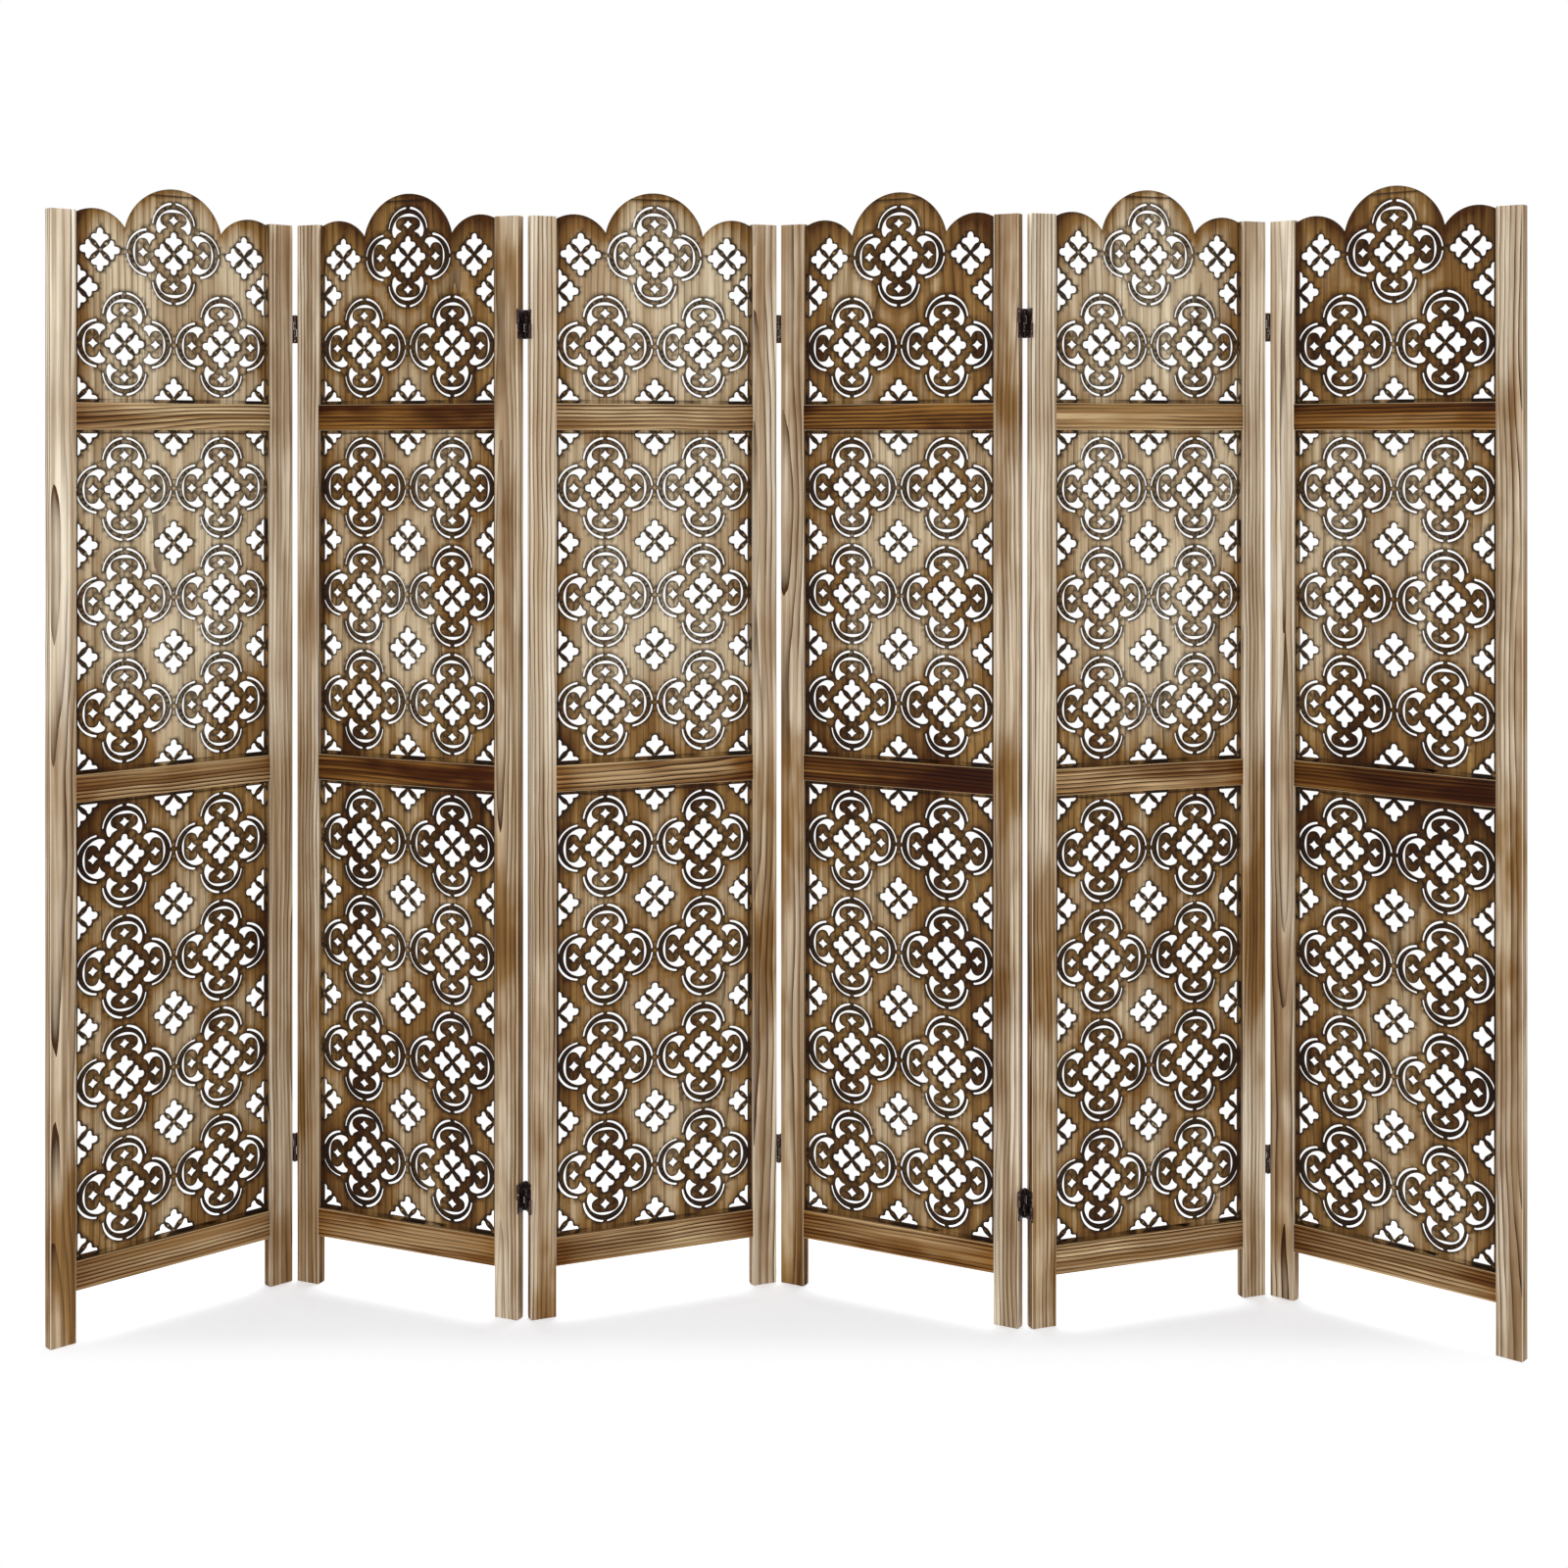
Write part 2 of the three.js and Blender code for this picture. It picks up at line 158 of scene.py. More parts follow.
def put(node, values):
    """Sets a node's own inputs by their labels."""
    for label, value in values.items():
        node.inputs[label].default_value = value


def new_material(name):
    """A material, its node tree and its main shader."""
    material = bpy.data.materials.new(name)
    material.use_nodes = True
    return material, material.node_tree, material.node_tree.nodes["Principled BSDF"]


def group_with(name, inputs, outputs):
    """A new shader node group with its sockets, and its two end nodes."""
    group = bpy.data.node_groups.new(name, "ShaderNodeTree")
    for label, kind, value in inputs:
        socket = group.interface.new_socket(label, in_out="INPUT", socket_type=kind)
        if value is not None:
            socket.default_value = value
    for label, kind in outputs:
        group.interface.new_socket(label, in_out="OUTPUT", socket_type=kind)
    return group, group.nodes.new("NodeGroupInput"), group.nodes.new("NodeGroupOutput")


def math_node(tree, operation, *values):
    """A Math node fed by numbers or by sockets."""
    node = tree.nodes.new("ShaderNodeMath")
    node.operation = operation
    for socket, value in zip(node.inputs, values):
        if isinstance(value, (int, float)):
            socket.default_value = value
        else:
            tree.links.new(value, socket)
    return node.outputs[0]


def stepped(tree, value, low, high):
    """A smooth step from 0 at low to 1 at high."""
    node = tree.nodes.new("ShaderNodeMapRange")
    node.interpolation_type = "SMOOTHSTEP"
    tree.links.new(value, node.inputs["Value"])
    put(node, {"From Min": low, "From Max": high})
    return node.outputs["Result"]


def noise_at(tree, place, scale, detail=2.0, roughness=0.5):
    """Noise of a place stretched by three scales."""
    stretch = tree.nodes.new("ShaderNodeVectorMath")
    stretch.operation = "MULTIPLY"
    tree.links.new(place, stretch.inputs[0])
    stretch.inputs[1].default_value = scale
    noise = tree.nodes.new("ShaderNodeTexNoise")
    put(noise, {"Scale": 1.0, "Detail": detail, "Roughness": roughness})
    tree.links.new(stretch.outputs[0], noise.inputs["Vector"])
    return noise.outputs["Fac"]


# %% The grain group
def make_grain_group():
    """Growth rings are circles round a pith that drifts to and fro beside the board.

    The ring number is the distance to the pith over the spacing, plus a little noise. Each ring
    darkens slowly from its inside outwards, as a power of its fraction, and then stops sharply.
    """
    group, start, end = group_with(
        "wood_grain",
        [("Place", "NodeSocketVector", None), ("Ring spacing", "NodeSocketFloat", 0.007),
         ("Drift", "NodeSocketFloat", 0.03), ("Sharpness", "NodeSocketFloat", 3.0)],
        [("Lines", "NodeSocketFloat"), ("Bands", "NodeSocketFloat"), ("Fibres", "NodeSocketFloat"),
         ("Clouds", "NodeSocketFloat"), ("Height", "NodeSocketFloat")])
    place = start.outputs["Place"]

    def times(first, second):
        return math_node(group, "MULTIPLY", first, second)

    def plus(first, second):
        return math_node(group, "ADD", first, second)

    split = group.nodes.new("ShaderNodeSeparateXYZ")
    group.links.new(place, split.inputs[0])
    slow = math_node(group, "SUBTRACT", noise_at(group, place, (1.5, 1.5, 1.1), 1.0), 0.5)
    drift = times(slow, start.outputs["Drift"])
    depth = plus(split.outputs["Y"], times(drift, 3.0))
    sway = times(noise_at(group, place, (5.0, 5.0, 4.0)), 0.011)
    across = plus(split.outputs["X"], sway)
    radius = math_node(group, "SQRT", plus(times(across, across), times(depth, depth)))
    rings = math_node(group, "DIVIDE", radius, start.outputs["Ring spacing"])
    jitter = times(noise_at(group, place, (60.0, 60.0, 5.0)), 0.6)
    part = math_node(group, "FRACT", plus(rings, jitter))
    lines = math_node(group, "POWER", part, start.outputs["Sharpness"])
    strength = stepped(group, noise_at(group, place, (45.0, 45.0, 2.5)), 0.30, 0.62)
    strong = times(lines, plus(times(strength, 0.7), 0.3))
    fine = noise_at(group, place, (380.0, 380.0, 7.0), 4.0, 0.65)
    bands = noise_at(group, place, (75.0, 75.0, 1.3), 3.0, 0.55)
    clouds = noise_at(group, place, (11.0, 11.0, 4.0), 3.0, 0.55)
    height = plus(times(fine, -0.6), times(lines, 0.5))
    found = {"Lines": strong, "Bands": stepped(group, bands, 0.38, 0.62),
             "Fibres": stepped(group, fine, 0.42, 0.68), "Clouds": stepped(group, clouds, 0.40, 0.66),
             "Height": height}
    for label, value in found.items():
        group.links.new(value, end.inputs[label])
    return group


grain_group = make_grain_group()
print("grain group sockets:", len(grain_group.interface.items_tree))

# %% [markdown]
# The scorching group mixes the colours. Pale early wood gets bands, fibres and dark ring lines, and clouds
# turn it golden. Then two brown tints multiply the colour by `shade`, which holds scorching and painted
# shade together, once up to a `shade` of one and again up to two, so the grain still shows through. The
# arris mask brings the pale wood back on the arrises, as wear and as a painted highlight, and `burn`
# blackens the cut edges.

# %% The scorching group
def mixed(tree, factor, first, second, blend="MIX"):
    """A colour mix. Each colour is a value or a socket."""
    node = tree.nodes.new("ShaderNodeMix")
    node.data_type = "RGBA"
    node.blend_type = blend
    node.clamp_factor = True
    tree.links.new(factor, node.inputs["Factor"])
    for socket, value in ((node.inputs[6], first), (node.inputs[7], second)):
        if isinstance(value, tuple):
            socket.default_value = value
        else:
            tree.links.new(value, socket)
    return node.outputs[2]


def make_scorch_group():
    """Colour and roughness of scorched wood, from its grain and its masks."""
    masks = ["Lines", "Bands", "Fibres", "Clouds", "Burn", "Shade", "Wear"]
    group, start, end = group_with(
        "scorched_wood",
        [(label, "NodeSocketFloat", 0.0) for label in masks]
        + [("Line strength", "NodeSocketFloat", 0.8), ("Cloud strength", "NodeSocketFloat", 0.5),
           ("Band strength", "NodeSocketFloat", 0.85), ("Fibre strength", "NodeSocketFloat", 0.3),
           ("Pale", "NodeSocketColor", linear(205, 188, 162)),
           ("Middle", "NodeSocketColor", linear(168, 146, 114)),
           ("Golden", "NodeSocketColor", linear(158, 122, 76)),
           ("Dark", "NodeSocketColor", linear(88, 62, 40)),
           # The next two tints multiply in the shade mask: scorching and painted shade together.
           ("Flame", "NodeSocketColor", linear(168, 139, 96)),
           ("Deep_scorch_and_shade_tint", "NodeSocketColor", linear(146, 122, 94)),
           ("Soot", "NodeSocketColor", linear(27, 17, 11))],
        [("Color", "NodeSocketColor"), ("Roughness", "NodeSocketFloat")])
    take = start.outputs

    def scaled(label, factor):
        return math_node(group, "MULTIPLY", take[label], factor)

    colour = mixed(group, scaled("Bands", take["Band strength"]), take["Pale"], take["Middle"])
    colour = mixed(group, scaled("Fibres", take["Fibre strength"]), colour, take["Dark"])
    colour = mixed(group, scaled("Clouds", take["Cloud strength"]), colour, take["Golden"])
    colour = mixed(group, scaled("Lines", take["Line strength"]), colour, take["Dark"])
    patches = math_node(group, "ADD", scaled("Clouds", 0.6), scaled("Bands", 0.2))
    uneven = math_node(group, "ADD", patches, 0.6)
    # The shade mask, scorching and painted shade together, multiplies in the two brown tints.
    shade = math_node(group, "MULTIPLY", take["Shade"], uneven)
    colour = mixed(group, shade, colour, take["Flame"], "MULTIPLY")
    colour = mixed(group, math_node(group, "SUBTRACT", shade, 1.0), colour, take["Deep_scorch_and_shade_tint"], "MULTIPLY")
    # Pale wood on the arrises, as wear and as a painted highlight.
    colour = mixed(group, scaled("Wear", 0.45), colour, take["Pale"])
    colour = mixed(group, math_node(group, "POWER", take["Burn"], 1.6), colour, take["Soot"])
    group.links.new(colour, end.inputs["Color"])
    rough = math_node(group, "SUBTRACT", 0.62, scaled("Lines", 0.12))
    group.links.new(rough, end.inputs["Roughness"])
    return group


scorch_group = make_scorch_group()


def wood_finish(name, rings, strengths, colours, bump):
    """A wood material: grain and scorching from the two groups, and a brushed surface."""
    material, tree, shader = new_material(name)
    put(shader, {"Specular IOR Level": 0.08})
    grain, scorch = (tree.nodes.new("ShaderNodeGroup") for _ in range(2))
    grain.node_tree, scorch.node_tree = grain_group, scorch_group
    for label in ("grain", "burn", "shade", "wear"):
        mask = tree.nodes.new("ShaderNodeAttribute")
        mask.attribute_name = label
        if label == "grain":
            tree.links.new(mask.outputs["Vector"], grain.inputs["Place"])
        else:
            tree.links.new(mask.outputs["Fac"], scorch.inputs[label.capitalize()])
    for label in ("Lines", "Bands", "Fibres", "Clouds"):
        tree.links.new(grain.outputs[label], scorch.inputs[label])
    put(grain, rings)
    put(scorch, {**strengths, **colours})
    tree.links.new(scorch.outputs["Color"], shader.inputs["Base Color"])
    tree.links.new(scorch.outputs["Roughness"], shader.inputs["Roughness"])
    relief = tree.nodes.new("ShaderNodeBump")
    put(relief, {"Strength": bump, "Distance": 0.0006})
    tree.links.new(grain.outputs["Height"], relief.inputs["Height"])
    tree.links.new(relief.outputs["Normal"], shader.inputs["Normal"])
    return material


# %% [markdown]
# Three finishes use the groups. The stiles are the palest, the rails are golden brown with bold
# flames of grain from end to end, and the panels have thin dark lines about a centimetre apart.

# %% The three wood finishes
stile_wood = wood_finish(
    "brushed_stile_wood", {"Ring spacing": 0.0062, "Drift": 0.025, "Sharpness": 3.0},
    {"Line strength": 1.25, "Cloud strength": 0.35, "Fibre strength": 0.32},
    {"Pale": linear(248, 236, 214), "Middle": linear(186, 163, 132), "Dark": linear(80, 54, 32)}, 0.5)
rail_wood = wood_finish(
    "brushed_rail_wood", {"Ring spacing": 0.0056, "Drift": 0.03, "Sharpness": 1.9},
    {"Line strength": 1.5, "Cloud strength": 0.5, "Fibre strength": 0.4, "Band strength": 1.0},
    {"Pale": linear(242, 216, 170), "Middle": linear(174, 139, 91), "Golden": linear(148, 108, 62),
     "Dark": linear(68, 40, 16), "Flame": linear(160, 126, 78), "Deep_scorch_and_shade_tint": linear(150, 116, 72)}, 0.5)
panel_wood = wood_finish(
    "brushed_panel_wood", {"Ring spacing": 0.0095, "Drift": 0.02, "Sharpness": 5.0},
    {"Line strength": 0.85, "Cloud strength": 0.4, "Band strength": 0.6, "Fibre strength": 0.28},
    {"Pale": linear(228, 212, 182), "Middle": linear(168, 147, 113), "Dark": linear(68, 48, 30)}, 0.35)
print("finishes:", [m.name for m in (stile_wood, rail_wood, panel_wood)])

# %% [markdown]
# ## Stiles and rails
#
# A frame member is one section carried along a straight path. The real ones are planed, so their
# corners are only eased by hand: a small curve along each corner and a slight draw-in at the ends.
# A box with a Bevel modifier would be quicker, but the groove that holds the panels is part of
# the section, and here it comes with it.

# %% Sections
def unit(vectors):
    """Vectors of length one."""
    return vectors / np.linalg.norm(vectors, axis=-1, keepdims=True)


def eased(corners, radii, steps=4):
    """Each corner C becomes the curve (1-t)^2 P + 2t(1-t) C + t^2 Q.

    P and Q lie one radius before and after the corner, along its two sides.
    """
    corners = np.array(corners, dtype=float)
    radii = np.array(radii, dtype=float)[:, None]
    before = corners - radii * unit(corners - np.roll(corners, 1, axis=0))
    after = corners + radii * unit(np.roll(corners, -1, axis=0) - corners)
    t = np.linspace(0, 1, steps + 1)[None, :, None]
    curve = ((1 - t) ** 2 * before[:, None] + 2 * t * (1 - t) * corners[:, None]
             + t**2 * after[:, None])
    return curve.reshape(-1, 2)


def arris_wear_and_highlight(radii, steps=4):
    """The wear and painted highlight on each point of an eased section: 4t(1-t) on corners of 1 mm or more.
    """
    t = np.linspace(0, 1, steps + 1)
    return ((np.array(radii) >= 1)[:, None] * 4 * t * (1 - t)).ravel()


def rectangle(half_width, low, high):
    """The four corners of an upright rectangle about the middle line, anticlockwise."""
    return np.array([(-half_width, low), (half_width, low), (half_width, high), (-half_width, high)])


def ring_faces(count, rings):
    """Faces of a stack of rings of points: quads between neighbours, and two flat ends."""
    ring = np.arange(count)
    ahead = (ring + 1) % count
    base = (np.arange(rings - 1) * count)[:, None]
    quads = np.stack([base + ring, base + ahead, base + ahead + count, base + ring + count], axis=2)
    return [quads.reshape(-1, 4), ring[::-1][None], (ring + (rings - 1) * count)[None]]


def swept(section, stations, insets):
    """A closed section carried along a straight path.

    The section runs anticlockwise. At each station it is drawn in by that station's inset, along
    the mean of the inward directions of the two sides at each corner. Flat ends close it.
    """
    sides = unit(np.roll(section, -1, axis=0) - section)
    inward = np.stack([-sides[:, 1], sides[:, 0]], axis=1)
    draw = unit(inward + np.roll(inward, 1, axis=0))
    stations, insets = np.array(stations, dtype=float), np.array(insets, dtype=float)
    flat = section[None] + insets[:, None, None] * draw[None]
    along = np.broadcast_to(stations[:, None, None], flat.shape[:2] + (1,))
    points = np.concatenate([flat, along], axis=2).reshape(-1, 3)
    return points, ring_faces(len(section), len(stations))


# %% [markdown]
# The shade of each member is partly scorching and partly painted shade. A left stile is darkest at the
# floor and a right one below the middle rail, and both are darker where rails meet them. The second, fourth
# and sixth leaves are darker with painted shade, as they are turned away from the light. The tables of
# extras hold what single members need besides.
# Seeded numbers put each member's pith beside another part of the board.

# %% A frame member
rng = np.random.default_rng(7)
PITHS = iter(rng.uniform([-0.07, 0.012, 0.0], [0.07, 0.04, 20.0], (30, 3)))
# Painted shade of each leaf: the second, fourth and sixth are turned away from the light.
LEAF_SHADE = [0.0, 0.30, 0.0, 0.32, 0.0, 0.27]
JOINT_HEIGHTS = np.array([97.0, 810.0, 1356.0])  # about the middles of the rails
JOINT_FADE = 45.0
END_EASE = 0.8
STILE_SHADE = {
    "left": ([0, 450, 800, 1100, 1660], [0.9, 0.76, 0.42, 0.14, -0.08], [0.3, 0.4, 0.6, 1.0, 1.2]),
    "right": ([0, 400, 560, 780, 880, 1300, 1660], [0.57, 0.62, 1.0, 1.0, 0.45, 0.32, 0.62],
              [0.1, 0.1, 0.0, 0.1, 1.2, 1.4, 0.7])}
STILE_EXTRA = {"left": [0.0, 0.05, -0.12, 0.12, 0.12, -0.28],
               "right": [0.0, -0.05, 0.05, -0.1, -0.02, -0.12]}


def add_wood(name, points, faces, leaf, finish, **masks):
    """Wood in place of one node of a leaf, with its grain and masks.
    """
    mesh = build_mesh(name, leaf_to_row(points, leaf), faces)
    for label, values in masks.items():
        set_attribute(mesh, label, values)
    slot = finish.name.removeprefix("brushed_")
    return add_piece(f"{name}_wood", mesh, finish, f"leaf_{leaf}", slot, name)


def add_member(name, points, faces, leaf, along_axis, finish, wear, shade):
    """Wood for one node of a leaf. along_axis is the leaf axis that the fibres follow."""
    middle = [LEAF_WIDTH / 2 if along_axis == 0 else points[:, 0].mean(), 0.0, points[:, 2].mean()]
    pith = next(PITHS)
    if along_axis == 0:
        pith[0] = np.sign(pith[0]) * (0.03 + 0.6 * abs(pith[0]))
    grain = (points - middle)[:, [2, 1, 0] if along_axis == 0 else [0, 1, 2]] * MM + pith
    far = np.abs(points[:, along_axis] - middle[along_axis])
    # Painted shade: leaves turned away from the light are darker.
    shade = np.clip(shade + LEAF_SHADE[leaf - 1], 0, 2)
    return add_wood(name, points, faces, leaf, finish, grain=grain,
                    burn=0.6 * (far > far.max() - 0.1), shade=shade, wear=wear)


def stile_stations(step=25.0):
    """Heights up a stile: its eased ends, and even steps between them."""
    inner = np.linspace(END_EASE, STILE_HEIGHT - END_EASE, int(STILE_HEIGHT / step))
    heights = np.concatenate([[0.0], inner, [STILE_HEIGHT]])
    insets = np.zeros(len(heights))
    insets[[0, -1]] = END_EASE
    return heights, insets


# %% The stiles
def add_stile(leaf, side):
    """The stile's section, with its groove, carried up from the floor to its top."""
    outer = LEAF_WIDTH if side == "right" else 0.0
    sign = 1 if side == "right" else -1
    inner, floor = outer - sign * STILE_WIDTH, outer - sign * (STILE_WIDTH - GROOVE_DEPTH)
    half, groove = THICKNESS / 2, GROOVE_WIDTH / 2
    corners = [(outer, -half), (outer, half), (inner, half), (inner, groove), (floor, groove),
               (floor, -groove), (inner, -groove), (inner, -half)]
    radii = [1.6, 1.6, 1.2, 0.4, 0.2, 0.2, 0.4, 1.2]
    if sign < 0:
        corners, radii = corners[::-1], radii[::-1]
    heights, insets = stile_stations()
    points, faces = swept(eased(corners, radii), heights, insets)
    wear = np.tile(arris_wear_and_highlight(radii), len(heights))
    height = points[:, 2]
    near_joint = np.exp(-np.abs(height[:, None] - JOINT_HEIGHTS).min(axis=1) / JOINT_FADE)
    heights_up, base, gain = STILE_SHADE[side]
    shade = 0.2 * near_joint + np.interp(height, heights_up, base)
    # The leaf's painted shade, scaled by height.
    shade = shade + (np.interp(height, heights_up, gain) - 1) * LEAF_SHADE[leaf - 1]
    shade = shade + STILE_EXTRA[side][leaf - 1]
    return add_member(f"leaf_{leaf}_{side}_stile", points, faces, leaf, 2, stile_wood, wear, shade)


stiles = [add_stile(leaf, side) for leaf in LEAVES for side in ("left", "right")]
print("stiles:", len(stiles))


# %% The rails
ROOT = 4.0  # how far a tenon reaches into its rail
RAIL_SHADE = {"upper_rail": (0.33, 3.0), "middle_rail": (0.74, 1.8), "bottom_rail": (0.42, 1.3)}
RAIL_EXTRA = {"upper_rail": [-0.1, 0.0, 0.0, 0.0, -0.15, 0.0],
              "middle_rail": [0.0, 0.0, 0.0, -0.1, -0.15, -0.1],
              "bottom_rail": [-0.3, 0.0, 0.0, 0.0, -0.25, -0.35]}


def add_rail(leaf, part):
    """The rail's section lies in depth and height, and is carried across the opening."""
    low, high = RAILS[part]
    half, groove = THICKNESS / 2, GROOVE_WIDTH / 2
    under = [] if part == "bottom_rail" else [
        (-groove, low), (-groove, low + GROOVE_DEPTH), (groove, low + GROOVE_DEPTH), (groove, low)]
    corners = [(-half, low), *under, (half, low), (half, high), (groove, high),
               (groove, high - GROOVE_DEPTH), (-groove, high - GROOVE_DEPTH), (-groove, high),
               (-half, high)]
    radii = [1.2] + [0.4, 0.2, 0.2, 0.4][: len(under)] + [1.2, 1.2, 0.4, 0.2, 0.2, 0.4, 1.2]
    ends = STILE_WIDTH + FIT, LEAF_WIDTH - STILE_WIDTH - FIT
    stations = np.concatenate([[ends[0]], np.linspace(ends[0] + 0.4, ends[1] - 0.4, 30), [ends[1]]])
    insets = np.zeros(len(stations))
    insets[[0, -1]] = 0.3
    section, faces = swept(eased(corners, radii), stations, insets)
    points = section[:, [2, 0, 1]]
    web_low = low + (FIT if part == "bottom_rail" else GROOVE_DEPTH + FIT)
    web_high = high - GROOVE_DEPTH - FIT
    edge = PANEL_THICKNESS / 2
    box = eased(rectangle(edge, web_low, web_high), [0.4] * 4, 2)
    wear = np.tile(arris_wear_and_highlight(radii), len(stations))
    other_side = LEAF_WIDTH - STILE_WIDTH
    for start, stop in ((STILE_WIDTH - TONGUE, STILE_WIDTH + ROOT),
                        (other_side - ROOT, other_side + TONGUE)):
        tenon, tenon_faces = swept(box, [start, stop], [0, 0])
        faces += [f + len(points) for f in tenon_faces]
        points = np.concatenate([points, tenon[:, [2, 0, 1]]])
        wear = np.concatenate([wear, np.zeros(len(tenon))])
    from_end = np.minimum(points[:, 0] - STILE_WIDTH, other_side - points[:, 0])
    least, more = RAIL_SHADE[part]
    # The rail's shade takes in the painted shade of its leaf.
    scorch_and_shade = least + more * LEAF_SHADE[leaf - 1] + RAIL_EXTRA[part][leaf - 1]
    shade = scorch_and_shade + 0.5 * np.exp(-np.abs(from_end) / JOINT_FADE)
    return add_member(f"leaf_{leaf}_{part}", points, faces, leaf, 0, rail_wood, wear, shade)


rails = [add_rail(leaf, part) for leaf in LEAVES for part in RAILS]
print("rails:", len(rails))

# %% [markdown]
# ## The fretwork's cut-outs
#
# The fretwork is a lattice of four-lobed medallions, with a flower between every four of them.
# Its maker cuts everything from one thin sheet, so the pattern is a set of closed outlines: slots
# in arcs, crescents, stars and petals. Each outline is drawn once for the lobe that points up,
# by a formula or by a smooth curve through a few points of its right half, and is then turned.

# %% Outlines
def smooth_closed(points, steps=3):
    """A closed curve through the points, cubic between each two of them.

    Between P1 and P2 it is P1 + t(P2-P0)/2 + t^2(2P0-5P1+4P2-P3)/2 + t^3(3P1-3P2+P3-P0)/2.
    """
    p0, p1 = np.roll(points, 1, axis=0)[:, None], points[:, None]
    p2, p3 = np.roll(points, -1, axis=0)[:, None], np.roll(points, -2, axis=0)[:, None]
    t = (np.arange(steps) / steps)[None, :, None]
    curve = (p1 + t * (p2 - p0) / 2 + t**2 * (2 * p0 - 5 * p1 + 4 * p2 - p3) / 2
             + t**3 * (3 * p1 - 3 * p2 + p3 - p0) / 2)
    return curve.reshape(-1, 2)


def with_mirror(right_half):
    """A closed outline from its right half, which starts and ends on the middle line."""
    half = np.array(right_half, dtype=float)
    return np.concatenate([half, half[-2:0:-1] * [-1, 1]])


def polar(radius, angles):
    """Points at a radius and at some angles."""
    return radius * np.stack([np.cos(angles), np.sin(angles)], axis=-1)


def slot_outline(radius, width, start, stop, steps=12):
    """An arc slot with round ends: its middle line, out by half its width and back."""
    angles = np.radians(np.linspace(start, stop, steps))
    outer, inner = polar(radius + width / 2, angles), polar(radius - width / 2, angles)
    turn = np.radians([30, 90, 150])

    def cap(angle, way):
        around = angle + way * turn if way > 0 else angle + np.pi + turn
        return polar(radius, angle) + polar(width / 2, around)

    return np.concatenate([outer, cap(angles[-1], 1), inner[::-1], cap(angles[0], -1)])


def star_outline(reach, power, steps=6):
    """A four-pointed star: |x|^p + |y|^p = reach^p, with p under one."""
    angles = np.linspace(0, 2 * np.pi, 4 * steps, endpoint=False)
    c, s = np.cos(angles), np.sin(angles)
    return reach * np.stack([np.sign(v) * np.abs(v) ** (2 / power) for v in (c, s)], axis=1)


# %% The motifs
LOBE_CENTRE = 41.3
SLOT_RADIUS, SLOT_WIDTH = 34.5, 3.4
STAR_CENTRE, STAR_REACH = 50.0, 8.8
CRESCENT_HALF = [(0, 66.9), (10.3, 65.1), (19.4, 60.0), (26.0, 52.2), (29.3, 43.4), (29.0, 37.2),
                 (27.4, 32.6), (24.6, 30.4), (22.0, 30.6), (20.4, 33.2), (17.8, 36.0), (14.0, 38.0),
                 (10.9, 39.4), (13.4, 41.2), (17.4, 43.2), (20.4, 46.8), (21.2, 51.4), (19.6, 56.4),
                 (14.4, 60.4), (7.4, 62.0), (0, 62.3)]
PETAL_HALF = [(0, 32.3), (3.3, 31.3), (5.2, 28.4), (5.5, 25.2), (6.6, 23.3), (9.6, 23.2),
              (12.6, 22.0), (14.3, 19.6), (14.0, 17.0), (12.0, 15.3), (9.0, 13.9), (6.3, 11.4),
              (3.8, 8.2), (1.7, 5.2), (0, 3.8)]


def quarter_turned(outline, quarter):
    """An outline turned about the motif's centre by quarter turns."""
    angle = quarter * np.pi / 2
    turn = np.array([[np.cos(angle), np.sin(angle)], [-np.sin(angle), np.cos(angle)]])
    return outline @ turn


right_slot = slot_outline(SLOT_RADIUS, SLOT_WIDTH, 6.0, 83.2) + [0, LOBE_CENTRE]
LOBE = [right_slot, right_slot * [-1, 1], smooth_closed(with_mirror(CRESCENT_HALF)),
        star_outline(STAR_REACH, 0.72) + [0, STAR_CENTRE]]
PETAL = smooth_closed(with_mirror(PETAL_HALF))
PETALS = [quarter_turned(PETAL, q) for q in range(4)]
LOBES = [quarter_turned(cut, q) for q in range(4) for cut in LOBE]
print("cut-outs in a medallion:", len(PETALS) + len(LOBES), "in a flower:", len(PETALS))

# %% [markdown]
# ## Where the motifs go
#
# The lattice is the same as in the solids. Medallions stand in two columns, and full flowers on
# the middle line between the rows. The flowers on the lattice's edge are centred on a border line,
# a strip inside the opening, which cuts them straight. In the crest one more medallion hangs
# under the arch.

# %% The lattice
MEDALLION_RADIUS, BORDER, ARCH_MARGIN = 78.0, 5.5, 19.4
COLUMN = OPENING_WIDTH / 2
BORDER_REACH = OPENING_WIDTH / 2 - BORDER


def rows_of(low, high):
    """The pitch that fits whole rows between two heights, and the rows' middles."""
    count = max(1, int((high - low) // COLUMN))
    pitch = (high - low) / count
    return pitch, low + (np.arange(count) + 0.5) * pitch


def straight_lattice(low, high):
    """Centres of the medallions and of the flowers between two border heights."""
    pitch, rows = rows_of(low, high)
    medallions = [(side * COLUMN / 2, z) for z in rows for side in (-1, 1)]
    heights = [low, *(rows + pitch / 2)]
    flowers = [(x, z) for z in heights for x in (-BORDER_REACH, 0.0, BORDER_REACH)]
    return medallions, flowers


def crest_lattice(low):
    """The crest's pair of medallions, the one under the arch, and the flowers by them."""
    middle_low, middle_high = OPENINGS["middle_panel"]
    pitch, _ = rows_of(0.0, middle_high - middle_low - 2 * BORDER)
    top = CREST_PEAK - ARCH_MARGIN - MEDALLION_RADIUS
    beside = (MEDALLION_RADIUS + OPENING_WIDTH / 2) / 2
    medallions = [(-COLUMN / 2, low + pitch / 2), (COLUMN / 2, low + pitch / 2), (0.0, top)]
    flowers = [(x, low) for x in (-BORDER_REACH, 0.0, BORDER_REACH)]
    flowers += [(x, low + pitch) for x in (-BORDER_REACH, BORDER_REACH)]
    flowers += [(-beside, top), (beside, top)]
    return medallions, flowers


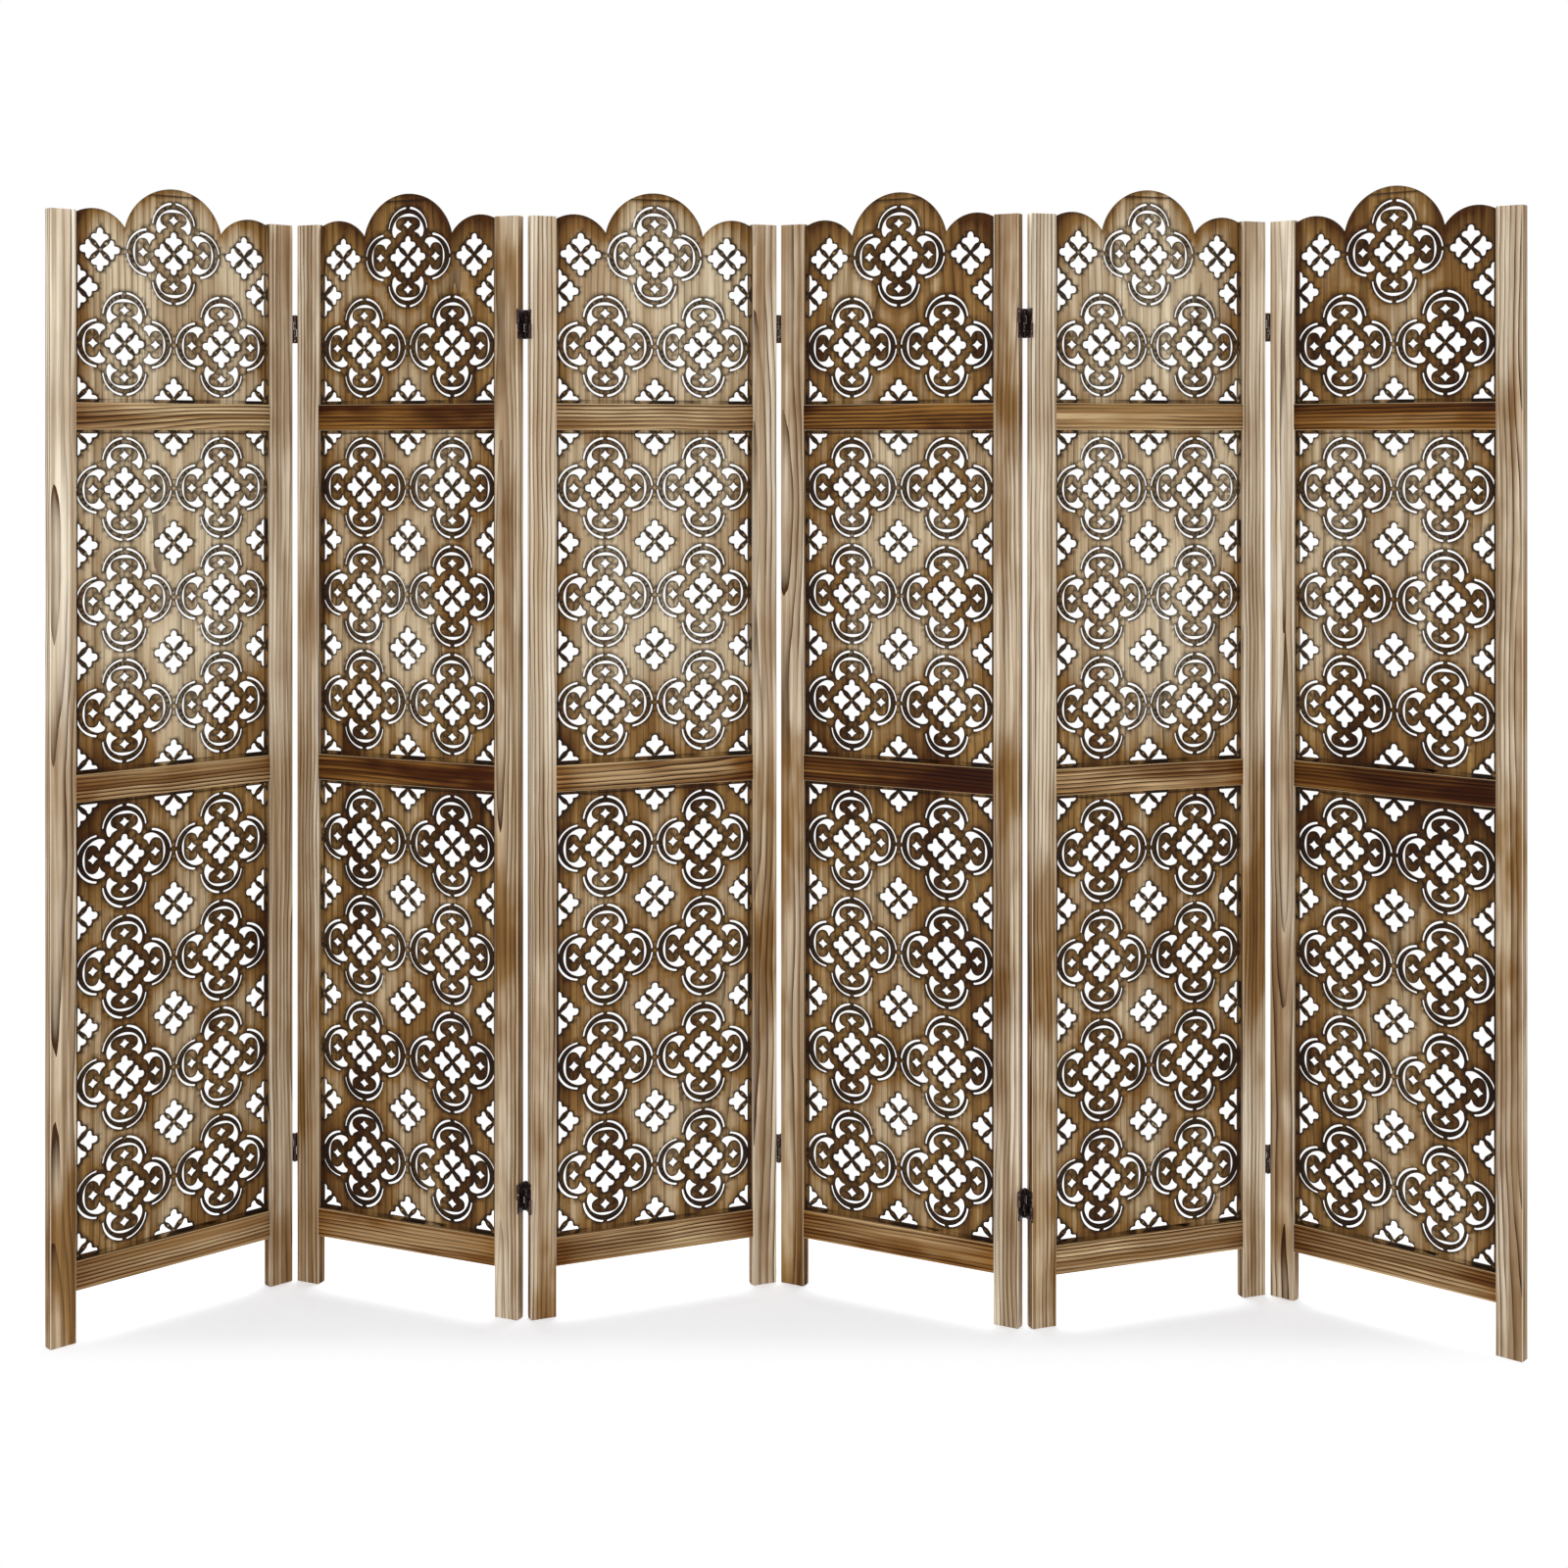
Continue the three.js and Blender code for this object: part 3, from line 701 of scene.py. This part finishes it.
def arc_through(a, b, c, steps):
    """Points on the circle through a, b and c, from a to c, without a itself.

    Its centre is where the perpendicular bisectors of ab and bc meet.
    """
    a, b, c = (np.array(p, dtype=float) for p in (a, b, c))
    middle = np.linalg.solve(np.stack([b - a, c - b]) * 2, [b @ b - a @ a, c @ c - b @ b])
    first, last = (np.arctan2(*(p - middle)[::-1]) for p in (a, c))
    way = np.sign(np.cross(b - a, c - b))
    sweep = (last - first) % (2 * np.pi) if way > 0 else -((first - last) % (2 * np.pi))
    angles = first + sweep * np.arange(1, steps + 1) / steps
    return middle + polar(np.linalg.norm(a - middle), angles)


SEAT_DROP, CUSP_DROP, SHOULDER_RISE, SHOULDER_IN, CUSP_IN = 4.0, 22.5, 5.0, 31.0, 81.0


def crest_outline():
    """One wide arch between two shoulders, over the tongue that stands in the groove."""
    half, reach = OPENING_WIDTH / 2, OPENING_WIDTH / 2 + TONGUE
    seat, cusp = STILE_HEIGHT - SEAT_DROP, STILE_HEIGHT - CUSP_DROP
    shoulder, inner, outer = STILE_HEIGHT + SHOULDER_RISE, half - CUSP_IN, half - SHOULDER_IN
    right = arc_through((half, seat), (outer, shoulder), (inner, cusp), 14)
    arch = arc_through((inner, cusp), (0, CREST_PEAK), (-inner, cusp), 40)
    left = arc_through((-inner, cusp), (-outer, shoulder), (-half, seat), 14)
    foot = [(-reach, CREST_FLOOR - TONGUE), (reach, CREST_FLOOR - TONGUE), (reach, seat), (half, seat)]
    return np.concatenate([foot, right, arch, left, [(-reach, seat)]])


print("crest outline points:", len(crest_outline()))

# %% [markdown]
# ## Cutting the sheet
#
# Blender can fill a flat curve with holes, and it can subtract solids, but both are slow with
# hundreds of cut-outs and give no points between them to carry the scorching. So the face of the
# sheet is triangulated in one step, with the outlines as fixed edges and loose points between
# them. Some of those follow each cut-out at a small distance, beside every second of its points,
# and carry less soot, and the rest are a grid with none. Triangles inside a cut-out are dropped,
# and the edges that are left with one triangle are the rims. Each rim gets a small bevel at both
# faces, because the cut edges are rubbed smooth.

# %% The flat face
def anticlockwise(loop):
    """The loop, turned round if its signed area, half the sum of x1 z2 - x2 z1, is negative."""
    ahead = np.roll(loop, -1, axis=0)
    area = (loop[:, 0] * ahead[:, 1] - ahead[:, 0] * loop[:, 1]).sum() / 2
    return loop if area > 0 else loop[::-1]


def beside(loop, distance=1.3):
    """Points at a distance outside an anticlockwise loop, each on the mean of two normals."""
    run = unit(np.roll(loop, -1, axis=0) - loop)
    outward = np.stack([run[:, 1], -run[:, 0]], axis=1)
    return loop + distance * unit(outward + np.roll(outward, 1, axis=0))


def flat_face(outline, holes, soot, low, high, spacing=7.0):
    """Points (k, 2), triangles (m, 3) and the burn at each point, without the cut-outs.

    A cut-out counts only inside the border. Its own points have a burn of 1, and the points
    beside it have its soot.
    """
    border = rectangle(BORDER_REACH, low, high)
    loops = [anticlockwise(loop) for loop in [outline, border] + holes]
    reach, floor, top = outline[:, 0].max(), outline[:, 1].min(), outline[:, 1].max()
    grid = np.stack(np.meshgrid(np.arange(spacing / 2 - reach, reach, spacing),
                                np.arange(floor + spacing / 2, top, spacing * 1.3)), axis=-1).reshape(-1, 2)
    grid = grid + np.random.default_rng(3).uniform(-2, 2, grid.shape)
    loose = [beside(loop)[::2] for loop in loops[2:]] + [grid]
    points = [tuple(p) for p in np.concatenate(loops + loose).tolist()]
    burns = [0.0, 0.0] + [1.0] * len(holes) + list(soot) + [0.0]
    burn = np.repeat(burns, [len(part) for part in loops + loose])
    burn[: len(outline)] = 0.55 * (loops[0][:, 1] > CREST_FLOOR)
    starts = np.cumsum([0] + [len(loop) for loop in loops])
    rings = [list(range(a, b)) for a, b in zip(starts[:-1], starts[1:])]
    found = delaunay_2d_cdt(points, [], rings, 0, 1e-4, True)
    inside = np.array([0 in f and not (1 in f and max(f) > 1) for f in found[5]])
    triangles = np.array(found[2])[inside]
    first = np.array([min(origin, default=-1) for origin in found[3]])
    used, renumbered = np.unique(triangles, return_inverse=True)
    flat = np.array([tuple(p) for p in found[0]])
    return flat[used], renumbered.reshape(-1, 3), np.where(first < 0, 1.0, burn[first])[used]


def rim_of(points, triangles):
    """Edges with one triangle, wood on their left, and the way into the wood at each point."""
    edges = np.concatenate([triangles[:, [0, 1]], triangles[:, [1, 2]], triangles[:, [2, 0]]])
    key = edges[:, 0].astype(np.int64) * len(points) + edges[:, 1]
    twin = edges[:, 1].astype(np.int64) * len(points) + edges[:, 0]
    rim = edges[~np.isin(key, twin)]
    run = unit(points[rim[:, 1]] - points[rim[:, 0]])
    normal = np.stack([-run[:, 1], run[:, 0]], axis=1)
    inward = np.zeros_like(points)
    for end in (0, 1):
        np.add.at(inward, rim[:, end], normal)
    length = np.linalg.norm(inward, axis=1, keepdims=True)
    return rim, np.where(length > 1e-9, inward / np.maximum(length, 1e-9), 0)


def cut_sheet(points, triangles, bevel=0.3):
    """Front face, bevel, cut wall, bevel and back face, as points (k, 3) and face arrays."""
    rim, inward = rim_of(points, triangles)
    half, count = PANEL_THICKNESS / 2, len(points)
    drawn = points + bevel * inward

    def at_depth(flat, depth):
        return np.stack([flat[:, 0] + LEAF_WIDTH / 2, np.full(len(flat), depth), flat[:, 1]], axis=1)

    layers = [at_depth(drawn, -half), at_depth(points, bevel - half),
              at_depth(points, half - bevel), at_depth(drawn, half)]
    faces = [triangles, triangles[:, ::-1] + 3 * count]
    for upper in range(3):
        near, far = rim + upper * count, rim + (upper + 1) * count
        faces.append(np.stack([near[:, 0], far[:, 0], far[:, 1], near[:, 1]], axis=1))
    whole = np.concatenate(layers)
    used, renumbered = np.unique(np.concatenate([f.ravel() for f in faces]), return_inverse=True)
    cuts = np.cumsum([f.size for f in faces])[:-1]
    parts = np.split(renumbered, cuts)
    # The cut walls keep less soot, so they are paler: a painted highlight of the light on them.
    wall_highlight_soot_factor = np.repeat([1.0, 0.75, 0.75, 1.0], count)[used]
    return whole[used], [part.reshape(f.shape) for part, f in zip(parts, faces)], used % count, wall_highlight_soot_factor


# %% [markdown]
# The shade follows the sheet's edges too: `shade` grows towards the frame, as painted shade where the sheet
# sits back in the grooves, and towards the outline of the crest.

# %% One panel
def nearest(points, others, block=500):
    """The distance from each point to the nearest of the others, a block at a time."""
    blocks = np.array_split(points, max(1, len(points) // block))
    return np.concatenate([
        np.sqrt(((b[:, None] - others[None]) ** 2).sum(axis=2).min(axis=1)) for b in blocks])


RING_RADIUS, RING_HALF_WIDTH, RING_BACK = 29.1, 3.8, -6.0
LOBE_RADIUS, LOBE_END, CENTRE_END, MASK_FADE = 22.0, 46.0, 50.0, 12.0


def medallion_masks(points, centres):
    """Masks of the ring between a lobe's slots and its crescent, of the lobe, and of the motif.

    They come from the distance to the nearest lobe centre, and from how far out along its lobe
    a point lies.
    """
    ways = np.array([(0, 1), (1, 0), (0, -1), (-1, 0)])
    lobes = (centres[:, None] + LOBE_CENTRE * ways).reshape(-1, 2)
    away = points[:, None] - lobes
    distance = np.linalg.norm(away, axis=2)
    outward = (away * np.tile(ways, (len(centres), 1))).sum(axis=2) > RING_BACK
    ring = ((np.abs(distance - RING_RADIUS) < RING_HALF_WIDTH) & outward).any(axis=1)
    near = distance.min(axis=1)
    middle = np.linalg.norm(points[:, None] - centres, axis=2).min(axis=1)
    inside = np.maximum(np.clip((LOBE_END - near) / MASK_FADE, 0, 1),
                        np.clip((CENTRE_END - middle) / MASK_FADE, 0, 1))
    return ring, near < LOBE_RADIUS, inside


def make_panel(outline, lattice, border, opening):
    """The sheet's points and faces in leaf coordinates, and what its scorching needs.

    That is the burn, how much of it each layer keeps, less on the cut walls as a painted highlight, the
    shade and the three masks.
    """
    medallions, flowers = lattice
    holes = [cut + np.array(c) for c in medallions for cut in PETALS + LOBES]
    holes += [cut + np.array(c) for c in flowers for cut in PETALS]
    soot = ([0.95] * 4 + [0.8] * len(LOBES)) * len(medallions) + [0.95] * 4 * len(flowers)
    flat, triangles, burn = flat_face(outline, holes, soot, *border)
    masks = medallion_masks(flat, np.array(medallions))
    solid, faces, source, wall_highlight_soot_factor = cut_sheet(flat, triangles)
    across, up = solid[:, 0] - LEAF_WIDTH / 2, solid[:, 2]
    to_side = OPENING_WIDTH / 2 - np.abs(across)
    to_rail = np.minimum(up - opening[0], opening[1] - up)
    # Painted shade, darker towards the stiles and rails, where the sheet sits back in the grooves.
    shade = (0.9 * np.exp(-np.clip(to_side, 0, None) / 26.0)
             + 0.5 * np.exp(-np.clip(to_rail, 0, None) / 20.0))
    return solid, faces, burn[source], wall_highlight_soot_factor, shade, *(mask[source] for mask in masks)


PANELS = {}
REACH = OPENING_WIDTH / 2 + TONGUE
for part, (low, high) in OPENINGS.items():
    sheet = rectangle(REACH, low - TONGUE, high + TONGUE)
    border = (low + BORDER, high - BORDER)
    PANELS[part] = make_panel(sheet, straight_lattice(*border), border, (low, high))
border = (CREST_FLOOR + BORDER, CREST_PEAK - 10)
no_rail_above = CREST_PEAK + 200
PANELS["crest_panel"] = make_panel(crest_outline(), crest_lattice(border[0]), border,
                                   (CREST_FLOOR, no_rail_above))
print("panel points:", {part: len(made[0]) for part, made in PANELS.items()})


# %% The panels of each leaf
def add_panel(leaf, part):
    """One worked-out sheet, placed in a leaf with its own grain and its own scorching."""
    points, faces, burn, wall_highlight_soot_factor, shade, ring, lobe, inside = PANELS[part]
    height, leaf_shade = points[:, 2], LEAF_SHADE[leaf - 1]
    # Besides scorching, this holds painted shade: the lower panel is darker just under the middle rail, and
    # the leaf's own painted shade darkens the sheet and the soot by its rings.
    if part == "lower_panel":
        scorch_and_shade = 0.7 + 0.4 * np.exp(-(OPENINGS[part][1] - height) / 90.0) + leaf_shade * 0.5 + 0.5 * inside
        ring_soot_and_shade = 0.9
    elif part == "middle_panel":
        scorch_and_shade = 0.2 + 0.8 * np.clip((1000 - height) / 170, 0, 1) + (0.15 + 0.8 * leaf_shade) * inside
        scorch_and_shade = scorch_and_shade + leaf_shade * np.interp(height, [1000, 1330], [1.0, 0.45])
        ring_soot_and_shade = 0.55 + leaf_shade
    else:
        crest = crest_outline()
        edge = crest[crest[:, 1] > CREST_FLOOR]
        rim = nearest(points[:, [0, 2]] - [LEAF_WIDTH / 2, 0], edge)
        scorch_and_shade = 0.2 + 1.2 * np.exp(-rim / 17.0) + leaf_shade * 1.8 + (0.2 + 1.5 * leaf_shade) * inside
        ring_soot_and_shade = 0.55 + leaf_shade
    middle = [LEAF_WIDTH / 2, 0, 0]
    # The soot is lower on the cut walls, as a painted highlight.
    return add_wood(f"leaf_{leaf}_{part}", points, faces, leaf, panel_wood,
                    grain=(points - middle) * MM + next(SHEET_PITHS),
                    burn=wall_highlight_soot_factor * np.maximum(burn, ring_soot_and_shade * np.maximum(ring, 0.4 * lobe)),
                    shade=np.clip(shade + scorch_and_shade, 0, 2), wear=np.zeros(len(points)))


SHEET_PITHS = iter(rng.uniform([-0.25, 0.07, 0.0], [0.25, 0.16, 20.0], (18, 3)))
panels = [add_panel(leaf, part) for leaf in LEAVES for part in PANELS]
print("panels:", len(panels))

# %% [markdown]
# ## Hinges
#
# The hinges are dark bronzed steel. Each has a plate on either stile edge, two crossed links in
# the gap, and four barrels. They are small, so plain turned and sheared shapes with soft corners
# are right. Each upper half link takes its solid's place. The plates and lower half links are
# part of the stiles' solids, and are pieces of their own here. The barrels are round, where the
# solids' have six sides.

# %% The bronze finish
def bronze_finish():
    """Dark bronze with lighter, smoother spots."""
    material, tree, shader = new_material("hinge_bronze")
    put(shader, {"Metallic": 0.85})
    place = tree.nodes.new("ShaderNodeTexCoord").outputs["Object"]
    lighter_spots = stepped(tree, noise_at(tree, place, (260.0, 260.0, 260.0), 3.0), 0.52, 0.75)
    colour = mixed(tree, lighter_spots, linear(58, 44, 40), linear(142, 118, 112))
    tree.links.new(colour, shader.inputs["Base Color"])
    rough = math_node(tree, "ADD", math_node(tree, "MULTIPLY", lighter_spots, -0.12), 0.48)
    tree.links.new(rough, shader.inputs["Roughness"])
    return material


hinge_bronze = bronze_finish()

# %% [markdown]
# A hinge is drawn about its own centre, which lies in the middle of the gap. Its parts are
# sections carried upwards: circles for the barrels and pins, and strips with eased corners for
# the plates. The screws are low domes, turned about an axis that looks along the leaf.

# %% Hinge shapes
GAP, PIN_OFFSET, PIN_RADIUS, BARREL_RADIUS, HINGE_HEIGHT = 4.4, 11.5, 1.0, 2.2, 44.0
LINK_FOOT, LINK_HALF, PLATE_DEPTH, WEB_DEPTH = 0.15, 0.5, 9.0, 8.0
BARREL_HEIGHT = (HINGE_HEIGHT / 2 - 0.45) / 2
LINK_BARREL, PLATE_BARREL = LINK_FOOT + BARREL_HEIGHT / 2, HINGE_HEIGHT / 2 - BARREL_HEIGHT / 2


def round_bar(radius, low, high, x, y, sides=20, inset=0.25):
    """A circle of points carried upwards, with its two rims eased."""
    circle = [x, y] + polar(radius, np.arange(sides) * 2 * np.pi / sides)
    return swept(circle, [low, low + inset, high - inset, high], [inset, 0, 0, inset])


def strip(x_low, x_high, y_low, y_high, low, high, ease=0.25):
    """A flat strip with eased corners, carried upwards."""
    corners = [(x_low, y_low), (x_high, y_low), (x_high, y_high), (x_low, y_high)]
    return swept(eased(corners, [ease] * 4, 2), [low, low + ease, high - ease, high], [ease, 0, 0, ease])


def screw_head(x, y, z, side, radius=2.6, rise=0.7):
    """A low dome: rings whose radius falls as a cosine while they rise as a sine."""
    rings, sides = 5, 16
    lift = np.linspace(0, np.pi / 2 * 0.92, rings)
    angles = np.arange(sides) * 2 * np.pi / sides
    ring_radius, height = radius * np.cos(lift), rise * np.sin(lift)
    across = x + side * height[:, None] + 0 * angles
    back = y + side * ring_radius[:, None] * np.cos(angles)
    up = z + ring_radius[:, None] * np.sin(angles)
    return np.stack([across, back, up], axis=2).reshape(-1, 3), ring_faces(sides, rings)


def merged(shapes):
    """Several closed shapes as one set of points and faces."""
    offsets = np.cumsum([0] + [len(points) for points, _ in shapes])
    faces = [f + start for (_, group), start in zip(shapes, offsets) for f in group]
    return np.concatenate([points for points, _ in shapes]), faces


def turned_over(shape):
    """A shape turned half round about its X axis, so its upper half becomes the lower one."""
    points, faces = shape
    return points * [1, -1, -1], faces


# %% Links and plates
def link_shape(pins):
    """The upper link: its plate, its neck, two barrels, and pins up from the listed faces."""
    neck_top, top = LINK_FOOT + BARREL_HEIGHT, HINGE_HEIGHT / 2
    shapes = [strip(-LINK_HALF, LINK_HALF, -PLATE_DEPTH, PLATE_DEPTH, LINK_FOOT, top - LINK_FOOT),
              strip(-LINK_HALF, LINK_HALF, -PIN_OFFSET, PIN_OFFSET, 0.2, neck_top - 0.05, 0.2)]
    shapes += [round_bar(BARREL_RADIUS, LINK_FOOT, neck_top, 0, face * PIN_OFFSET) for face in (-1, 1)]
    shapes += [round_bar(PIN_RADIUS, LINK_BARREL, top, 0, face * PIN_OFFSET, 12) for face in pins]
    return merged(shapes)


def plate_shape(side):
    """The plate on a leaf's edge: side is 1 on a right-hand edge and -1 on a left-hand one."""
    near, edge, far = -side * (GAP / 2 - 1), -side * GAP / 2, -side * (GAP / 2 + 0.6)
    half = HINGE_HEIGHT / 2
    shapes = [strip(min(near, far), max(near, far), -PLATE_DEPTH, PLATE_DEPTH, -half, half)]
    for way in (1, -1):
        face, centre = -side * way, way * PLATE_BARREL
        y_low, y_high = (-PIN_OFFSET, -WEB_DEPTH) if face < 0 else (WEB_DEPTH, PIN_OFFSET)
        low, high = centre - BARREL_HEIGHT / 2, centre + BARREL_HEIGHT / 2
        shapes.append(strip(min(near, edge), max(near, edge), y_low, y_high, low + 0.05, high - 0.05, 0.2))
        shapes.append(round_bar(BARREL_RADIUS, low, high, 0, face * PIN_OFFSET))
    shapes += [screw_head(near, 0.0, z, side, 2.4, 0.5) for z in (-14.0, 14.0)]
    return merged(shapes)


HINGE_LEVELS = {"upper": (1495.0, 1495.0), "lower": (210.0, 182.0)}


def add_hinge(first, level):
    """All the hardware of one hinge between a leaf and the next one."""
    forward = first % 2 == 1
    height = HINGE_LEVELS[level][0 if forward else 1]
    tag = f"hinge_{first}_{first + 1}_{level}"
    right_edge, left_edge = np.array([LEAF_WIDTH + GAP / 2, 0, height]), np.array([-GAP / 2, 0, height])
    # At rest both links lie in the gap beside the same leaf, the carrier, but the lower one rides
    # on the other leaf, which its pin belongs to.
    carrier, rider = (first + 1, left_edge), (first, right_edge)
    if not forward:
        carrier, rider = rider, carrier

    def hardware(part, shape, leaf, middle, body, *nodes):
        points, faces = shape
        mesh = build_mesh(f"{tag}_{part}", leaf_to_row(points + middle, leaf), faces)
        return add_piece(f"{tag}_{part}", mesh, hinge_bronze, body, "hinge_bronze", *nodes)

    made = [hardware(f"plate_{leaf}", plate_shape(side), leaf, middle, f"leaf_{leaf}")
            for leaf, middle, side in ((first, right_edge, 1), (first + 1, left_edge, -1))]
    made.append(hardware("upper_half_link", link_shape([-1, 1]), *carrier,
                         f"link_{first}_{first + 1}", f"{tag}_link"))
    lower = turned_over(link_shape([-1 if forward else 1]))
    return made + [hardware("lower_half_link", lower, *rider, f"leaf_{rider[0]}")]


hinge_pieces = [piece for first in range(1, 6) for level in HINGE_LEVELS
                for piece in add_hinge(first, level)]
print("hinge pieces:", len(hinge_pieces))

# %% [markdown]
# ## Floor and light
#
# The screen stands in a white studio. The floor is a pale matt sheet that keeps the soft shadow,
# and a little away from the screen it turns to plain white, so that no horizon shows. The world
# is white to the camera and to reflections and dimmer as a light. Two large lamps stand in front,
# and one hangs above and behind.

# %% The floor
FLOOR_GLOW, FLOOR_HALF, FLOOR_DROP = 0.34, 30.0, 0.0002


def studio_floor():
    """A large square just under the feet, white with a soft shadow near the screen."""
    corners = rectangle(FLOOR_HALF, -FLOOR_HALF, FLOOR_HALF)
    square = np.column_stack([corners, np.full(4, -FLOOR_DROP)])
    mesh = build_mesh("floor", square, [np.array([[0, 1, 2, 3]])])
    floor = placed("floor", mesh)
    material, tree, shader = new_material("floor_white")
    put(shader, {"Base Color": (0.845, 0.868, 0.915, 1), "Emission Color": (1, 1, 1, 1),
                 "Emission Strength": FLOOR_GLOW, "Roughness": 0.9, "Specular IOR Level": 0.1})
    glow = tree.nodes.new("ShaderNodeEmission")
    put(glow, {"Strength": 1.0})
    place = tree.nodes.new("ShaderNodeTexCoord").outputs["Object"]
    split = tree.nodes.new("ShaderNodeSeparateXYZ")
    tree.links.new(place, split.inputs[0])
    aside = stepped(tree, math_node(tree, "ABSOLUTE", split.outputs["X"]), 0.98, 1.18)
    front = stepped(tree, math_node(tree, "MULTIPLY", split.outputs["Y"], -1.0), 0.04, 0.19)
    behind = stepped(tree, split.outputs["Y"], 0.35, 0.75)
    far = math_node(tree, "MAXIMUM", math_node(tree, "MAXIMUM", aside, front), behind)
    mix = tree.nodes.new("ShaderNodeMixShader")
    tree.links.new(far, mix.inputs[0])
    tree.links.new(shader.outputs[0], mix.inputs[1])
    tree.links.new(glow.outputs[0], mix.inputs[2])
    tree.links.new(mix.outputs[0], tree.nodes["Material Output"].inputs["Surface"])
    mesh.materials.append(material)
    return floor


floor = studio_floor()

# %% The world and the lamps
def white_world(light):
    """White where it is seen or mirrored, and dimmer where it lights."""
    world = bpy.data.worlds.new("studio")
    world.use_nodes = True
    bpy.context.scene.world = world
    tree = world.node_tree
    shader = tree.nodes["Background"]
    put(shader, {"Color": (1, 1, 1, 1)})
    path = tree.nodes.new("ShaderNodeLightPath")
    seen = math_node(tree, "MAXIMUM", path.outputs["Is Camera Ray"], path.outputs["Is Glossy Ray"])
    seen = math_node(tree, "MAXIMUM", seen, path.outputs["Is Transmission Ray"])
    strength = math_node(tree, "ADD", math_node(tree, "MULTIPLY", seen, 1 - light), light)
    tree.links.new(strength, shader.inputs["Strength"])


def soft_lamp(name, place, aim, size, power):
    """A large square lamp that looks at a point."""
    lamp = bpy.data.lights.new(name, "AREA")
    lamp.shape, lamp.size, lamp.energy = "SQUARE", size, power
    holder = placed(name, lamp)
    holder.location = place
    holder.rotation_euler = (Vector(aim) - Vector(place)).to_track_quat("-Z", "Y").to_euler()


white_world(0.62)
soft_lamp("key", (-1.8, -3.6, 1.6), (0, 0, 0.9), 1.8, 44)
soft_lamp("fill", (2.0, -3.6, 1.3), (0, 0, 0.9), 1.8, 32)
soft_lamp("top", (0.0, 1.3, 3.3), (0, -0.1, 0.0), 2.4, 90)

# %% [markdown]
# ## Camera
#
# The camera's place and focal length were worked out from the corners of the leaves in the
# picture. It looks level at the screen from in front, and its frame is shifted down, as with a
# studio camera, so that upright edges stay upright.

# %% The camera
def add_camera():
    """A level camera in front of the screen, with its frame shifted down."""
    data = bpy.data.cameras.new("camera")
    data.lens, data.sensor_width, data.shift_y = 51.89, 36.0, -0.2181
    data.clip_end = 100
    camera = placed("camera", data)
    camera.location = (0.0038, -3.4040, 1.3179)
    camera.rotation_euler = (np.pi / 2, 0, 0)
    bpy.context.scene.camera = camera
    bpy.context.scene.view_settings.view_transform = "Standard"
    return camera


camera = add_camera()
print("camera at", tuple(camera.location))
